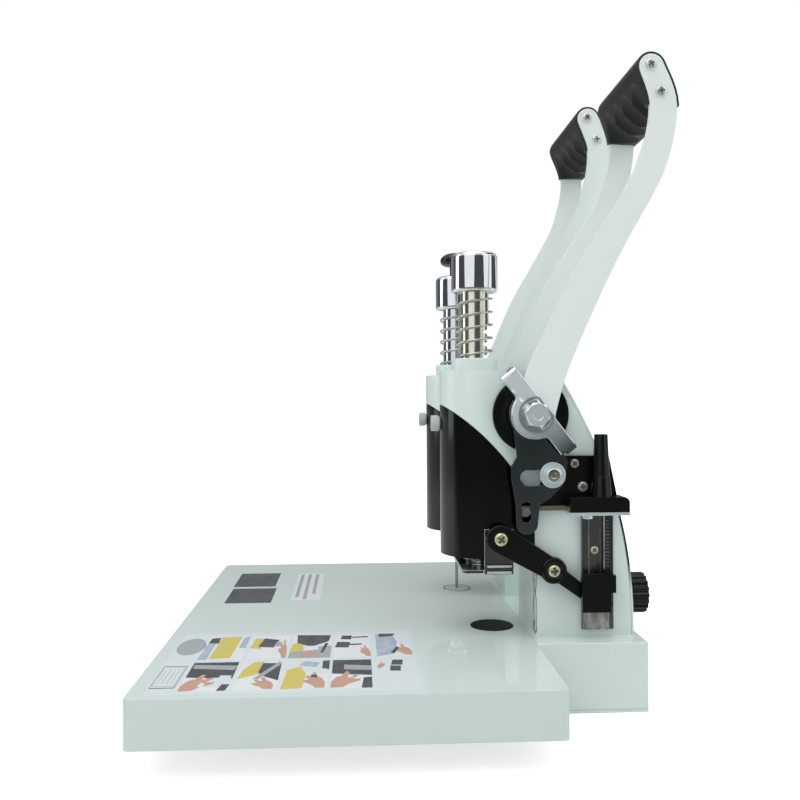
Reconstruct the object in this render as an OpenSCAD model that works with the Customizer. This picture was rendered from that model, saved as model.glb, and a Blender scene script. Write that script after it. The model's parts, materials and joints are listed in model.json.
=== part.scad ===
// Two-head voucher binding machine: a drill head and a rivet head side by side on a table,
// each worked by its own long handle, with a tube cutter on the right side.
// Millimetres, +Z up, the operator stands at -Y. The origin is on the floor below the columns.

/* [Table and base] */
// Width of the table, left to right
table_w = 400; // [360:1:440]
// Depth of the table, front edge to the rear base
table_d = 260; // [220:1:300]
// Height of the table top above the floor
table_h = 49; // [46:1:60]
// Height of the skirt round the table
skirt_h = 29.5; // [24:0.5:38]
// Sheet thickness of the painted steel
sheet = 1.6; // [1.2:0.1:2.5]
// Corner radius of the table in plan
corner_r = 4; // [2:0.5:10]
// Width of the rear base
base_w = 210; // [204:1:240]
// Depth of the rear base
base_d = 79; // [76:1:100]
// Thickness of the bottom plate
plate_t = 2; // [1.5:0.1:4]
// Height of the rubber feet under the front legs
foot_h = 6; // [4:0.5:10]
// Diameter of the rubber feet
foot_d = 24; // [16:1:32]
// Square size of the front legs
leg_w = 22; // [18:1:30]

/* [Heads and columns] */
// Middle of the drill head
drill_x = 53; // [50:1:58]
// Middle of the rivet head
rivet_x = -73; // [-76:1:-70]
// Width of a head and its column
head_w = 64; // [60:1:68]
// Height of the handle shafts above the table top
shaft_rise = 160; // [150:1:175]
// Gap between pinion and roof inside a head
roof_gap = 0.4; // [0.3:0.1:3]
// Distance from ram axis to the nose of the head
nose = 26.5; // [25:0.5:29]
// Height of the dark front cover above the table top
cover_lift = 56; // [54:1:62]
// Wall of the dark front covers
cover_t = 2; // [1.5:0.1:2.4]
// Visible gap between painted head and dark cover
seam = 0.4; // [0.2:0.1:0.8]
// Radius of the curved parting line of the head
part_r = 199; // [190:1:210]

/* [Rams, racks and pinions] */
// Tooth module of rack and pinion
mod = 1.5; // [1.4:0.05:1.55]
// Teeth on the pinion
teeth = 38; // [36:1:38]
// Pitch line of the rack behind the ram axis
rack_off = 7; // [6:0.5:7.5]
// Face width of the pinion
pinion_w = 14; // [10:1:18]
// Flank clearance of the teeth
flank_play = 0.12; // [0.08:0.01:0.2]
// Diameter of the ram
ram_d = 21.5; // [20:0.5:24]
// Length of ram showing between collar and cap at rest
ram_show = 49.8; // [48:0.1:60]
// Diameter of the cap on the ram
cap_d = 34.8; // [32:0.2:38]
// Height of the cap
cap_h = 29.4; // [24:0.2:36]
// Outside diameter of the collar on the roof
collar_d = 34.8; // [33:0.2:40]
// Height of the collar
collar_h = 9.4; // [8:0.1:14]
// Floor thickness of the collar under the spring
collar_floor = 2.4; // [2:0.1:4]
// Outside diameter of the return spring
spring_d = 28; // [26.5:0.5:29]
// Wire of the return spring
spring_wire = 1.6; // [1.2:0.1:2]
// Turns of the return spring
spring_turns = 5.6; // [4:0.1:6.5]
// Travel of the ram
stroke = 46; // [40:0.5:46]
// Running clearance on radius of turned fits
run_fit = 0.05; // [0.02:0.01:0.1]
// Clear gap between curved pieces
gap = 0.3; // [0.3:0.1:0.6]

/* [Handles] */
// Outside width of a handle across its two arms
handle_w = 99; // [97:1:104]
// Thickness of an arm
arm_t = 4; // [3:0.5:5]
// Height of the end of the arm above the shaft
arm_rise = 245; // [220:1:280]
// Extra forward lean of the rivet handle at rest, degrees
rivet_lean = 2.6; // [0:0.1:6]
// Rim of the grip round the arm
grip_rim = 1.8; // [1:0.1:3]
// Radius of the finger grooves
finger_r = 11; // [9:0.5:14]
// Depth of the finger grooves
finger_deep = 6; // [3:0.5:9]
// Diameter of the shaft
shaft_d = 20; // [18:0.5:22]
// Square drive on the shaft ends
square_w = 13; // [11:0.5:14]
// Diameter of the dark hub discs
hub_d = 55; // [48:1:60]
// Thickness of the hub discs
hub_t = 3.5; // [2:0.5:4]

/* [Side mechanism] */
// Thickness of the cutter bracket plate
bracket_t = 3; // [2:0.5:3]
// Thickness of the rocker plate
rocker_t = 3; // [2:0.5:3.5]
// Radius of the curved slot in the rocker
slot_r = 45.2; // [43:0.2:47]
// Width of the curved slot
slot_w = 11.2; // [10:0.2:13]
// Shank of the rocker bolt
rocker_bolt_d = 8; // [6:0.5:8]
// Thickness of the wing lever
wing_t = 3; // [2:0.5:4]
// Depth of the bent tabs on the wing lever
tab_deep = 11; // [6:0.5:11]
// Height of the blade line below the shaft
blade_drop = 69.2; // [68:0.1:70]
// Bore for the binding tube
tube_bore = 5.4; // [4.5:0.1:6]
// Outside diameter of the upper tube guide
tube_d = 9.8; // [9:0.2:12]
// Outside diameter of the lower tube guide
tube_base_d = 14.9; // [13:0.1:15]
// Height of the tube guide above the shelf
tube_h = 44; // [30:1:60]
// Position of the tube behind the shaft
tube_back = 48.5; // [48:0.5:52]
// Thickness of the link arm
link_t = 5; // [4:0.5:5]
// Thickness of the length rail
rail_t = 3; // [2:0.5:3]
// Width of the length rail
rail_w = 23; // [20:1:24]

/* [Tools] */
// Diameter of the drilling pad
pad_d = 32; // [30:1:36]
// Offset of the pad centre behind the drill axis
pad_back = 12; // [9:0.5:12]
// Depth of the pad
pad_h = 5; // [4:0.5:8]
// Outside diameter of the lower rivet die
die_d = 24; // [20:1:28]
// Diameter of the locating pin
pin_d = 2.6; // [2:0.1:3.2]
// Height of the locating pin above the table
pin_h = 36; // [20:1:36]
// Outside diameter of the hollow drill
drill_d = 6.2; // [5:0.1:7]
// Presser plate height above the table
presser_lift = 45.5; // [45:0.1:48]
// Thickness of the presser plate
presser_t = 2.5; // [2:0.1:3]
// Diameter of the presser guide rods
rod_d = 5; // [4:0.5:6]
// Diameter of the motor
motor_d = 44; // [38:1:46]
// Diameter of the ejector knob
mushroom_d = 26.6; // [22:0.2:32]
// Diameter of the ejector stem
stem_d = 9.4; // [8:0.2:12]
// Diameter of the rear knob
knob_d = 30; // [24:1:32]
// Length of the rear knob
knob_l = 14; // [10:1:26]

/* [Hidden] */
$fn = 64;
// levels
shaft_y = -40;
base_y0 = -40;
base_y1 = base_y0 + base_d;
table_y0 = base_y0 - table_d;
skirt_z = table_h - skirt_h;
shaft_z = table_h + shaft_rise;
// heads
half_w = head_w / 2;
pitch_r = mod * teeth / 2;
tip_circle = pitch_r + mod;
roof_z = shaft_z + tip_circle + roof_gap + sheet;
ram_y = shaft_y - pitch_r - rack_off;
nose_y = ram_y - nose;
bow_y = nose_y + half_w;
near_x = drill_x + half_w;
column_y = shaft_y + 3;
cover_z = table_h + cover_lift;
back_y = 35;
shell_back = 1.8;
collar_top = roof_z + collar_h;
cap_z = collar_top + ram_show;
spring_z0 = roof_z + collar_floor;
ram_r = ram_d / 2;
neck_wall = 4.5;
ram_in = 6;
ram_z0 = shaft_z - 26;
rack_z0 = shaft_z - 20;
rack_z1 = shaft_z + 65;
tooth_pitch = PI * mod;
shaft_r = shaft_d / 2;
boss_d = shaft_d + 6;
// layers of the side mechanism, outwards from the head
rocker_x = near_x + 7;
boss_x = rocker_x + rocker_t + 0.3;
arm_out = handle_w / 2;
wing_x = drill_x + arm_out;
blade_x = near_x + bracket_t + 0.8;
blade_z = shaft_z - blade_drop;
tube_x = near_x + 10.6;
tube_y = shaft_y + tube_back;
shelf_x0 = near_x + bracket_t;
shelf_x1 = near_x + 18;
shelf_z0 = blade_z + 0.2;
shelf_z1 = shelf_z0 + 10.6;
shelf_y0 = shaft_y + 24.7;
shelf_y1 = shaft_y + 67;
link_x = near_x + 4;
// link arm: pivot on the column, one end on the presser, the other in the slider
pivot_y = shaft_y + 14.8;
pivot_z = table_h + 48.7;
link_in = [-37.8, 22.8];
link_out = [24, -18];
rail_y = shaft_y + 36.3;
rail_z0 = table_h + 5;
rail_z1 = table_h + 88;
slider_x = near_x + 3.3;
slider_x1 = near_x + 15;
slider_y0 = rail_y - 2.6;
slider_y1 = rail_y + rail_w - 5.1;
slider_z0 = table_h + 20;
slider_z1 = table_h + 46.8;
slider_lug = 4.5;
slider_finger = 3.2;
// tools
presser_z = table_h + presser_lift;
flange_z = presser_z + presser_t + 14;
rod_x = 22;
pad_y = ram_y + pad_back;
knob_z = table_h + 25;
knob_x = drill_x + 7;
knob_off = 1.5;
knob_stem_d = 8;
die_lip = 1;
die_seat = 4;
cup_wall = 3;
cup_floor = 2;
die_neck = die_d - 8;
pad_proud = 0.6;
small_screw = 4;
screw_top_d = 7.6;
screw_top_h = 2;
screw_in = 22;
spindle_d = 8;
chuck_d = 20;
heater_h = 56;
rod_bore = rod_d + 1 + 2 * run_fit;

white = [0.93, 0.95, 0.94];
black = [0.06, 0.06, 0.07];
zinc = [0.72, 0.75, 0.78];
dark_zinc = [0.3, 0.34, 0.38];
chrome = [0.85, 0.86, 0.88];
gold_zinc = [0.78, 0.74, 0.6];
steel = [0.6, 0.61, 0.63];
rubber = [0.08, 0.08, 0.08];

// extrusion along X of a drawing in Y and Z
module yz(x0, x1) {
    translate([x0, 0, 0])
    rotate([90, 0, 90])
    linear_extrude(x1 - x0)
    children();
}

// cylinder along X
module xcyl(x0, x1, y, z, d) {
    translate([x0, y, z])
    rotate([0, 90, 0])
    cylinder(h = x1 - x0, d = d);
}

// cylinder along Y
module ycyl(y0, y1, x, z, d) {
    translate([x, y1, z])
    rotate([90, 0, 0])
    cylinder(h = y1 - y0, d = d);
}

// upright cylinder
module zcyl(z0, z1, x, y, d) {
    translate([x, y, z0])
    cylinder(h = z1 - z0, d = d);
}

// block from corner to corner
module block(a, b) {
    translate(a)
    cube(b - a);
}

// rectangle with round corners
module round_rect(x0, y0, x1, y1, r) {
    translate([x0 + r, y0])
    square([x1 - x0 - 2 * r, y1 - y0]);
    translate([x0, y0 + r])
    square([x1 - x0, y1 - y0 - 2 * r]);
    for (x = [x0 + r, x1 - r])
        for (y = [y0 + r, y1 - r])
            translate([x, y])
            circle(r);
}

// flat bar with two round ends of different size
module bar2d(p, rp, q, rq) {
    d = norm(q - p);
    a = atan2(q[1] - p[1], q[0] - p[0]);
    b = acos((rp - rq) / d);
    translate(p)
    circle(rp);
    translate(q)
    circle(rq);
    polygon([
        p + rp * [cos(a + b), sin(a + b)],
        p + rp * [cos(a - b), sin(a - b)],
        q + rq * [cos(a - b), sin(a - b)],
        q + rq * [cos(a + b), sin(a + b)]
    ]);
}

// one point of a cubic curve
function bez(p, t) =
    pow(1 - t, 3) * p[0] + 3 * pow(1 - t, 2) * t * p[1]
    + 3 * (1 - t) * t * t * p[2] + pow(t, 3) * p[3];

// rear outline of a column, from the base up to the roof
back_low = [[back_y, table_h], [back_y + 0.5, table_h + 58],
    [back_y - 8.5, shaft_z - 47], [shaft_y + 24, roof_z - 8]];
back_top = [[shaft_y + 24, roof_z - 8], [shaft_y + 20.5, roof_z - 2.5],
    [shaft_y + 16, roof_z], [shaft_y + 10, roof_z]];
function back_line(in) = concat(
    [for (i = [0:16]) bez(back_low, i / 16) - [in, 0]],
    [for (i = [1:6]) bez(back_top, i / 6) - [in, in * i / 6]]
);

// side outline of column and head
module head_profile(in) {
    polygon(concat(
        [[column_y, table_h]],
        back_line(in),
        [[shaft_y + 10 - in, roof_z], [nose_y - 1, roof_z], [nose_y - 1, table_h]]
    ));
}

// plan of a head: half round nose and straight sides
module head_plan(half, in) {
    translate([0, bow_y])
    circle(half);
    translate([-half, bow_y])
    square([2 * half, base_y1 + 1 - bow_y - in]);
}

// the circle of the parting line between painted head and dark cover
part_a = [nose_y, shaft_z + 7.2];
part_b = [column_y, shaft_z - 63.3];
part_d = part_b - part_a;
part_h = sqrt(part_r * part_r - part_d * part_d / 4);
part_c = (part_a + part_b) / 2 + part_h * [part_d[1], -part_d[0]] / norm(part_d);
part_y = part_c[0];
part_z = part_c[1];
module part_disc(x0, x1, r) {
    translate([x0, part_y, part_z])
    rotate([0, 90, 0])
    cylinder(h = x1 - x0, r = r, $fn = 180);
}

// painted steel column with the upper half of the head
module head_frame(cx) {
    translate([cx, 0, 0])
    difference() {
        intersection() {
            yz(-half_w, half_w)
            head_profile(shell_back);
            translate([0, 0, table_h])
            linear_extrude(roof_z)
            head_plan(half_w, 0);
        }
        // hollow inside
        intersection() {
            block([-half_w + sheet, nose_y, table_h - 1], [half_w - sheet, base_y1, roof_z - sheet]);
            translate([0, 0, table_h - 1])
            linear_extrude(roof_z - sheet - table_h + 1)
            head_plan(half_w - sheet, 0);
        }
        // front part below the curved parting line is left to the dark cover
        intersection() {
            part_disc(-half_w - 1, half_w + 1, part_r);
            block([-half_w - 1, nose_y - 2, table_h - 1], [half_w + 1, column_y, roof_z]);
        }
        // shaft and ram holes
        xcyl(-half_w - 1, half_w + 1, shaft_y, shaft_z, shaft_d + 2 * gap);
        zcyl(roof_z - sheet - 1, roof_z + 1, 0, ram_y, ram_d + neck_wall);
    }
    // front sheet of the column
    column_front(cx);
}

module column_front(cx) {
    front_top = part_z + sqrt(part_r * part_r - pow(column_y - part_y, 2));
    block([cx - half_w + sheet, column_y, table_h],
        [cx + half_w - sheet, column_y + sheet, front_top - 1]);
}

// bent sheet that closes the back of a column
module back_cover(cx) {
    inner = back_line(shell_back);
    outer = back_line(shell_back - seam);
    difference() {
        yz(cx - half_w, cx + half_w)
        polygon(concat(back_line(0), [for (i = [len(inner) - 1:-1:0]) inner[i]]));
        // shadow gap along both edges, so that the cover bears on the inner half of the walls
        for (s = [-1, 1])
            yz(cx + s * half_w - sheet / 2, cx + s * half_w + sheet / 2)
            polygon(concat(outer, [for (i = [len(inner) - 1:-1:0]) inner[i] - [1, 0]]));
    }
}

// dark half-round cover round the tool
module front_cover(cx) {
    difference() {
        intersection() {
            translate([cx, 0, cover_z])
            linear_extrude(roof_z - cover_z)
            difference() {
                head_plan(half_w, 0);
                head_plan(half_w - cover_t, 0);
            }
            part_disc(cx - half_w - 1, cx + half_w + 1, part_r - seam);
            block([cx - half_w, nose_y - 1, cover_z], [cx + half_w, column_y, roof_z]);
        }
        ycyl(nose_y - 1, bow_y, cx, screw_z, screw_shank + 2 * gap);
    }
}

screw_z = shaft_z - 7;
screw_shank = 4;
screw_head = 12;
screw_l = 5.6;

// knurled hand screw that holds a front cover
module hand_screw(cx) {
    teeth_n = 20;
    translate([cx, nose_y - 1.1, screw_z])
    rotate([90, 0, 0])
    linear_extrude(screw_l)
    polygon([for (i = [0:2 * teeth_n - 1])
        (screw_head / 2 - (i % 2) * 0.5) * [cos(i * 180 / teeth_n), sin(i * 180 / teeth_n)]]);
    ycyl(nose_y - 1.1, nose_y - gap, cx, screw_z, screw_head - 2);
    ycyl(nose_y - gap, nose_y + 6, cx, screw_z, screw_shank);
}

// cup on the roof that guides the ram and seats the spring
module ram_collar(cx) {
    difference() {
        union() {
            zcyl(roof_z, collar_top, cx, ram_y, collar_d);
            zcyl(roof_z - sheet, roof_z, cx, ram_y, ram_d + neck_wall);
        }
        zcyl(roof_z - sheet - 1, collar_top + 1, cx, ram_y, ram_d + 2 * run_fit);
        zcyl(spring_z0, collar_top + 1, cx, ram_y, spring_d + 4 * gap);
    }
}

// hub discs with their bosses on both sides of a head
module hub_pair(cx, long) {
    for (s = [-1, 1])
        translate([cx, 0, 0])
        mirror([s < 0 ? 1 : 0, 0, 0])
        difference() {
            union() {
                xcyl(half_w, half_w + hub_t, shaft_y, shaft_z, hub_d);
                xcyl(half_w, s > 0 ? long : arm_out - arm_t - 0.5, shaft_y, shaft_z, boss_d);
            }
            xcyl(half_w - 1, arm_out, shaft_y, shaft_z, shaft_d + 2 * run_fit);
        }
}

// outline of a toothed wheel with straight-line approximated involute flanks
base_circle = pitch_r * cos(20);
root_circle = pitch_r - 1.25 * mod;
function inv_deg(r) = let (a = acos(min(1, base_circle / r))) tan(a) * 180 / PI - a;
function flank(r) = 90 / teeth - flank_play / pitch_r * 180 / PI + inv_deg(pitch_r) - inv_deg(r);
function polar(r, a) = r * [cos(a), sin(a)];
flank_r = [for (i = [0:4]) base_circle + (tip_circle - base_circle) * i / 4];
module wheel2d() {
    polygon([for (k = [0:teeth - 1])
        let (c = 180 + k * 360 / teeth)
        each concat(
            [polar(root_circle, c - flank(base_circle))],
            [for (r = flank_r) polar(r, c - flank(r))],
            [for (i = [4:-1:0]) polar(flank_r[i], c + flank(flank_r[i]))],
            [polar(root_circle, c + flank(base_circle))]
        )
    ]);
}

// shaft with square ends and its pinion
module shaft_set(cx, square_x1) {
    xcyl(cx - arm_out + arm_t, cx + arm_out - arm_t, shaft_y, shaft_z, shaft_d);
    block([cx - arm_out, shaft_y - square_w / 2, shaft_z - square_w / 2],
        [square_x1, shaft_y + square_w / 2, shaft_z + square_w / 2]);
    translate([0, shaft_y, shaft_z])
    yz(cx - pinion_w / 2, cx + pinion_w / 2)
    wheel2d();
}

// drawing of the tooth gaps of the rack, Y behind the ram axis and Z along it
module rack_gaps() {
    tip = rack_off + mod;
    root = rack_off - 1.25 * mod;
    hw = tooth_pitch / 4 + flank_play;
    w_tip = hw + mod * tan(20);
    w_root = hw - 1.25 * mod * tan(20);
    n0 = ceil((rack_z0 - shaft_z) / tooth_pitch);
    n1 = floor((rack_z1 - shaft_z) / tooth_pitch);
    for (k = [n0:n1])
        translate([0, shaft_z + k * tooth_pitch])
        polygon([[tip + 0.01, -w_tip], [tip + 0.01, w_tip], [root, w_root], [root, -w_root]]);
    translate([tip, rack_z0 - 4])
    square([ram_r, rack_z1 - rack_z0 + 6]);
}

// ram with the rack cut into its back
module ram(cx, bore) {
    difference() {
        zcyl(ram_z0, cap_z + ram_in, cx, ram_y, ram_d);
        translate([0, ram_y, 0])
        yz(cx - ram_r, cx + ram_r)
        rack_gaps();
        if (bore > 0)
            zcyl(ram_z0 - 1, cap_z + ram_in + 1, cx, ram_y, bore);
    }
}

// bright cap pushed on the ram
module ram_cap(cx, bore) {
    r = cap_d / 2;
    e = 4;
    translate([cx, ram_y, cap_z])
    difference() {
        rotate_extrude()
        polygon(concat(
            [[0, 0], [r - 1, 0], [r, 1]],
            [for (i = [0:8]) [r - e + e * cos(i * 90 / 8), cap_h - e + e * sin(i * 90 / 8)]],
            [[0, cap_h]]
        ));
        translate([0, 0, -1])
        cylinder(h = ram_in + 1, d = ram_d);
        if (bore > 0)
            translate([0, 0, -1])
            cylinder(h = cap_h + 2, d = bore);
    }
}

// wire wound in a screw line: one closed tube
module wire_coil(cx, cy, z0, z1, r, wire, turns) {
    rings = ceil(turns * 8);
    sides = 6;
    w = wire / 2;
    rise = z1 - z0 - wire;
    pts = [for (i = [0:rings]) let (a = 360 * turns * i / rings, z = z0 + w + rise * i / rings)
        for (j = [0:sides - 1]) let (b = 360 * j / sides)
            [cx + (r + w * cos(b)) * cos(a), cy + (r + w * cos(b)) * sin(a), z + w * sin(b)]];
    skin = [for (i = [0:rings - 1]) for (j = [0:sides - 1])
        let (a = i * sides + j, b = i * sides + (j + 1) % sides)
        each [[a, a + sides, b], [b, a + sides, b + sides]]];
    cap0 = [for (j = [1:sides - 2]) [0, j, j + 1]];
    last = rings * sides;
    cap1 = [for (j = [1:sides - 2]) [last, last + j + 1, last + j]];
    polyhedron(pts, concat(skin, cap0, cap1), 4);
    far = sides * 6;
    echo("least gap between turns",
        min([for (i = [0:len(pts) - 1 - far]) for (j = [i + far:len(pts) - 1]) norm(pts[j] - pts[i])]));
}

// side outline of an arm from stations of set-back, rise and half width
arm_k = arm_rise / 245;
arm_stations = [
    [-3, -14, 13.4],
    [0, 0, 14],
    [7.6, 27, 13.8],
    [17.6, 50.5, 12.8],
    [39.4, 96.5, 12],
    [58, 129, 10.3],
    [77, 161, 9.7],
    [84.6, 178, 10],
    [90.7, 200, 9.7],
    [92, 222, 9.7],
    [84, 245, 8.9],
    [77, 262, 8]
];
function cr(a, b, c, d, t) = 0.5 * (2 * b + (c - a) * t + (2 * a - 5 * b + 4 * c - d) * t * t
    + (3 * b - a - 3 * c + d) * t * t * t);
arm_n = 5;
arm_last = len(arm_stations) - 3;
function arm_pt(i, j) = cr(arm_stations[i - 1], arm_stations[i], arm_stations[i + 1],
    arm_stations[i + 2], j / arm_n);
function arm_line(from) = concat(
    [arm_pt(from, 0)],
    [for (i = [from:arm_last]) for (j = [1:arm_n]) arm_pt(i, j)]);
function arm_dir(l, i) =
    let (a = l[max(0, i - 1)], b = l[min(len(l) - 1, i + 1)], d = [b[0] - a[0], b[1] - a[1]])
    d / norm(d);
function arm_side(l, s, more) = [for (i = [0:len(l) - 1])
    let (d = arm_dir(l, i)) arm_k * [l[i][0], l[i][1]] + s * (l[i][2] * arm_k + more) * [d[1], -d[0]]];
module arm2d(from, more) {
    l = arm_line(from);
    n = len(l) - 1;
    d = arm_dir(l, n);
    a = atan2(d[1], d[0]);
    r = l[n][2] * arm_k + more;
    polygon(concat(
        arm_side(l, 1, more),
        [for (i = [1:11]) arm_k * [l[n][0], l[n][1]] + polar(r, a - 90 + i * 15)],
        [for (p = [n:-1:0]) arm_side(l, -1, more)[p]]
    ));
}

// place a piece of a handle at its shaft and lean
module at_handle(lean) {
    translate([0, shaft_y, shaft_z])
    rotate([lean, 0, 0])
    children();
}

arm_hub_d = 29;
grip_hole = [[83.3, 246.1], [90.5, 227.2]];
grip_low = [[60, 218.5], [120, 216]];
finger_pitch = 21;
finger_top = [77.2, 236.5];
finger_turn = 38;

// two flat arms
module arm_pair(cx, lean) {
    at_handle(lean)
    for (x = [cx - arm_out, cx + arm_out - arm_t])
        difference() {
            union() {
                yz(x, x + arm_t)
                arm2d(1, 0);
                xcyl(x, x + arm_t, 0, 0, arm_hub_d * arm_k);
            }
            rotate([-lean, 0, 0])
            block([x - 1, -square_w / 2, -square_w / 2], [x + arm_t + 1, square_w / 2, square_w / 2]);
            for (p = grip_hole)
                xcyl(x - 1, x + arm_t + 1, p[0] * arm_k, p[1] * arm_k, small_screw);
        }
}

// moulded grip between the arms with four finger grooves
module grip(cx, lean) {
    // grooves run down and back from the front face, so that their tops lie at half height
    into = finger_r - finger_deep;
    front = arm_k * finger_top - finger_deep * [sin(finger_turn), cos(finger_turn)];
    at_handle(lean)
    difference() {
        yz(cx - arm_out, cx + arm_out)
        difference() {
            arm2d(7, grip_rim);
            polygon([arm_k * grip_low[0], arm_k * grip_low[1], [300, 0], [0, 0]]);
        }
        for (x = [cx - arm_out - 1, cx + arm_out - arm_t])
            yz(x, x + arm_t + 1)
            arm2d(6, 0);
        for (i = [-1.5:1:1.5])
            translate([cx + i * finger_pitch, front[0] - into * sin(finger_turn),
                front[1] - into * cos(finger_turn)])
            rotate([-finger_turn, 0, 0])
            rotate([90, 0, 0])
            cylinder(h = 80, r = finger_r, center = true);
        for (p = grip_hole)
            xcyl(cx - arm_out - 1, cx + arm_out + 1, p[0] * arm_k, p[1] * arm_k, small_screw);
    }
}

// cross-head screws of a grip
module grip_screw_set(cx, lean) {
    at_handle(lean)
    for (p = grip_hole) {
        xcyl(cx + arm_out, cx + arm_out + screw_top_h, p[0] * arm_k, p[1] * arm_k, screw_top_d);
        xcyl(cx - arm_out - screw_top_h, cx - arm_out, p[0] * arm_k, p[1] * arm_k, screw_top_d);
        xcyl(cx + arm_out - screw_in, cx + arm_out, p[0] * arm_k, p[1] * arm_k, small_screw);
        xcyl(cx - arm_out, cx - arm_out + screw_in, p[0] * arm_k, p[1] * arm_k, small_screw);
    }
}

module table_top() {
    color(white)
    difference() {
        union() {
            difference() {
                translate([0, 0, skirt_z])
                linear_extrude(skirt_h)
                round_rect(-table_w / 2, table_y0, table_w / 2, base_y0, corner_r);
                translate([0, 0, skirt_z - 1])
                linear_extrude(skirt_h - sheet + 1)
                round_rect(-table_w / 2 + sheet, table_y0 + sheet, table_w / 2 - sheet, base_y0 - sheet,
                    corner_r - sheet);
            }
            // cup below the drilling pad
            zcyl(table_h - pad_h - cup_floor, table_h - sheet / 2, drill_x, pad_y, pad_d + 2 * cup_wall);
            // cup below the ring die
            zcyl(table_h - die_seat - cup_floor, table_h - sheet / 2, rivet_x, ram_y, die_d + 2 * cup_wall);
        }
        zcyl(table_h - pad_h, table_h + 1, drill_x, pad_y, pad_d + 2 * gap);
        zcyl(table_h - die_seat, table_h + 1, rivet_x, ram_y, die_d + 2 * gap);
        zcyl(table_h - die_seat - cup_floor - 1, table_h + 1, rivet_x, ram_y, die_neck);
    }
}

module rear_base() {
    color(white)
    difference() {
        block([-base_w / 2, base_y0, plate_t], [base_w / 2, base_y1, table_h]);
        block([-base_w / 2 + sheet, base_y0 + sheet, plate_t - 1],
            [base_w / 2 - sheet, base_y1 - sheet, table_h - sheet]);
    }
}

leg_in = 70;
leg_back = 38;
leg_t = 2;
leg_x = table_w / 2 - leg_in;
leg_y = table_y0 + leg_back;
module chassis() {
    color(steel) {
        block([-base_w / 2, base_y0, 0], [base_w / 2, base_y1, plate_t]);
        for (s = [-1, 1])
            difference() {
                block([s * leg_x - leg_w / 2, leg_y - leg_w / 2, foot_h],
                    [s * leg_x + leg_w / 2, leg_y + leg_w / 2, table_h - sheet]);
                block([s * leg_x - leg_w / 2 + leg_t, leg_y - leg_w / 2 - 1, foot_h + leg_t],
                    [s * leg_x + leg_w / 2 - leg_t, leg_y + leg_w / 2 - leg_t, table_h - sheet - leg_t]);
            }
    }
}

module rubber_feet() {
    color(rubber)
    for (s = [-1, 1])
        zcyl(0, foot_h, s * leg_x, leg_y, foot_d);
}

module drill_frame() {
    color(white)
    head_frame(drill_x);
}

module rivet_frame() {
    color(white)
    head_frame(rivet_x);
}

module drill_rear_cover() {
    color(white)
    difference() {
        back_cover(drill_x);
        ycyl(back_y - 6, back_y + 2, knob_x, knob_z, knob_stem_d + 2 * run_fit);
    }
}

module rivet_rear_cover() {
    color(white)
    back_cover(rivet_x);
}

module drill_cover() {
    color(black)
    front_cover(drill_x);
}

module rivet_cover() {
    color(black)
    front_cover(rivet_x);
}

module drill_hand_screw() {
    color(white)
    hand_screw(drill_x);
}

module rivet_hand_screw() {
    color(white)
    hand_screw(rivet_x);
}

module drill_collar() {
    color(white)
    ram_collar(drill_x);
}

module rivet_collar() {
    color(white)
    ram_collar(rivet_x);
}

module drill_hubs() {
    color(black)
    hub_pair(drill_x, boss_x - drill_x);
}

module rivet_hubs() {
    color(black)
    hub_pair(rivet_x, arm_out - arm_t - 0.5);
}

module drill_pad() {
    color(black)
    zcyl(table_h - pad_h + 0.1, table_h + pad_proud, drill_x, pad_y, pad_d);
}

module rivet_die() {
    color(steel)
    difference() {
        union() {
            zcyl(table_h - die_seat, table_h + die_lip, rivet_x, ram_y, die_d);
            zcyl(table_h - die_seat - cup_floor, table_h - die_seat, rivet_x, ram_y, die_neck);
            zcyl(10, table_h - die_seat - cup_floor, rivet_x, ram_y, pin_d + 7);
        }
        zcyl(9, table_h + die_lip + 1, rivet_x, ram_y, pin_d + 2 * run_fit);
    }
}

module locating_pin() {
    color(chrome)
    zcyl(table_h - 10, table_h + pin_h, rivet_x, ram_y, pin_d);
}

bolt_y = shaft_y + 13.8;
bolt_z = shaft_z - sqrt(slot_r * slot_r - 13.8 * 13.8);
screw_a = [shaft_y + 31.3, shaft_z - 35.5];
screw_b = [shaft_y + 37.3, shaft_z - 52.3];
module cutter_bracket() {
    color(black)
    difference() {
        yz(near_x, near_x + bracket_t)
        polygon([[shaft_y + 2, shelf_z0], [shelf_y1 - 2.6, shelf_z0], [shelf_y1 - 10.6, shaft_z - 30],
            [shaft_y + 12, shaft_z - 30]]);
        xcyl(near_x - 1, near_x + bracket_t + 1, bolt_y, bolt_z, rocker_bolt_d);
        for (p = [screw_a, screw_b])
            xcyl(near_x - 1, near_x + bracket_t + 1, p[0], p[1], small_screw);
    }
}

rocker_washer_d = 18.4;
module rocker_bolt() {
    out = rocker_x + rocker_t;
    color(zinc) {
        xcyl(near_x, out + 0.4, bolt_y, bolt_z, rocker_bolt_d);
        xcyl(out + 0.4, out + 2, bolt_y, bolt_z, rocker_washer_d);
        xcyl(out + 2, out + 5.4, bolt_y, bolt_z, 1.5 * rocker_bolt_d);
    }
}

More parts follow.
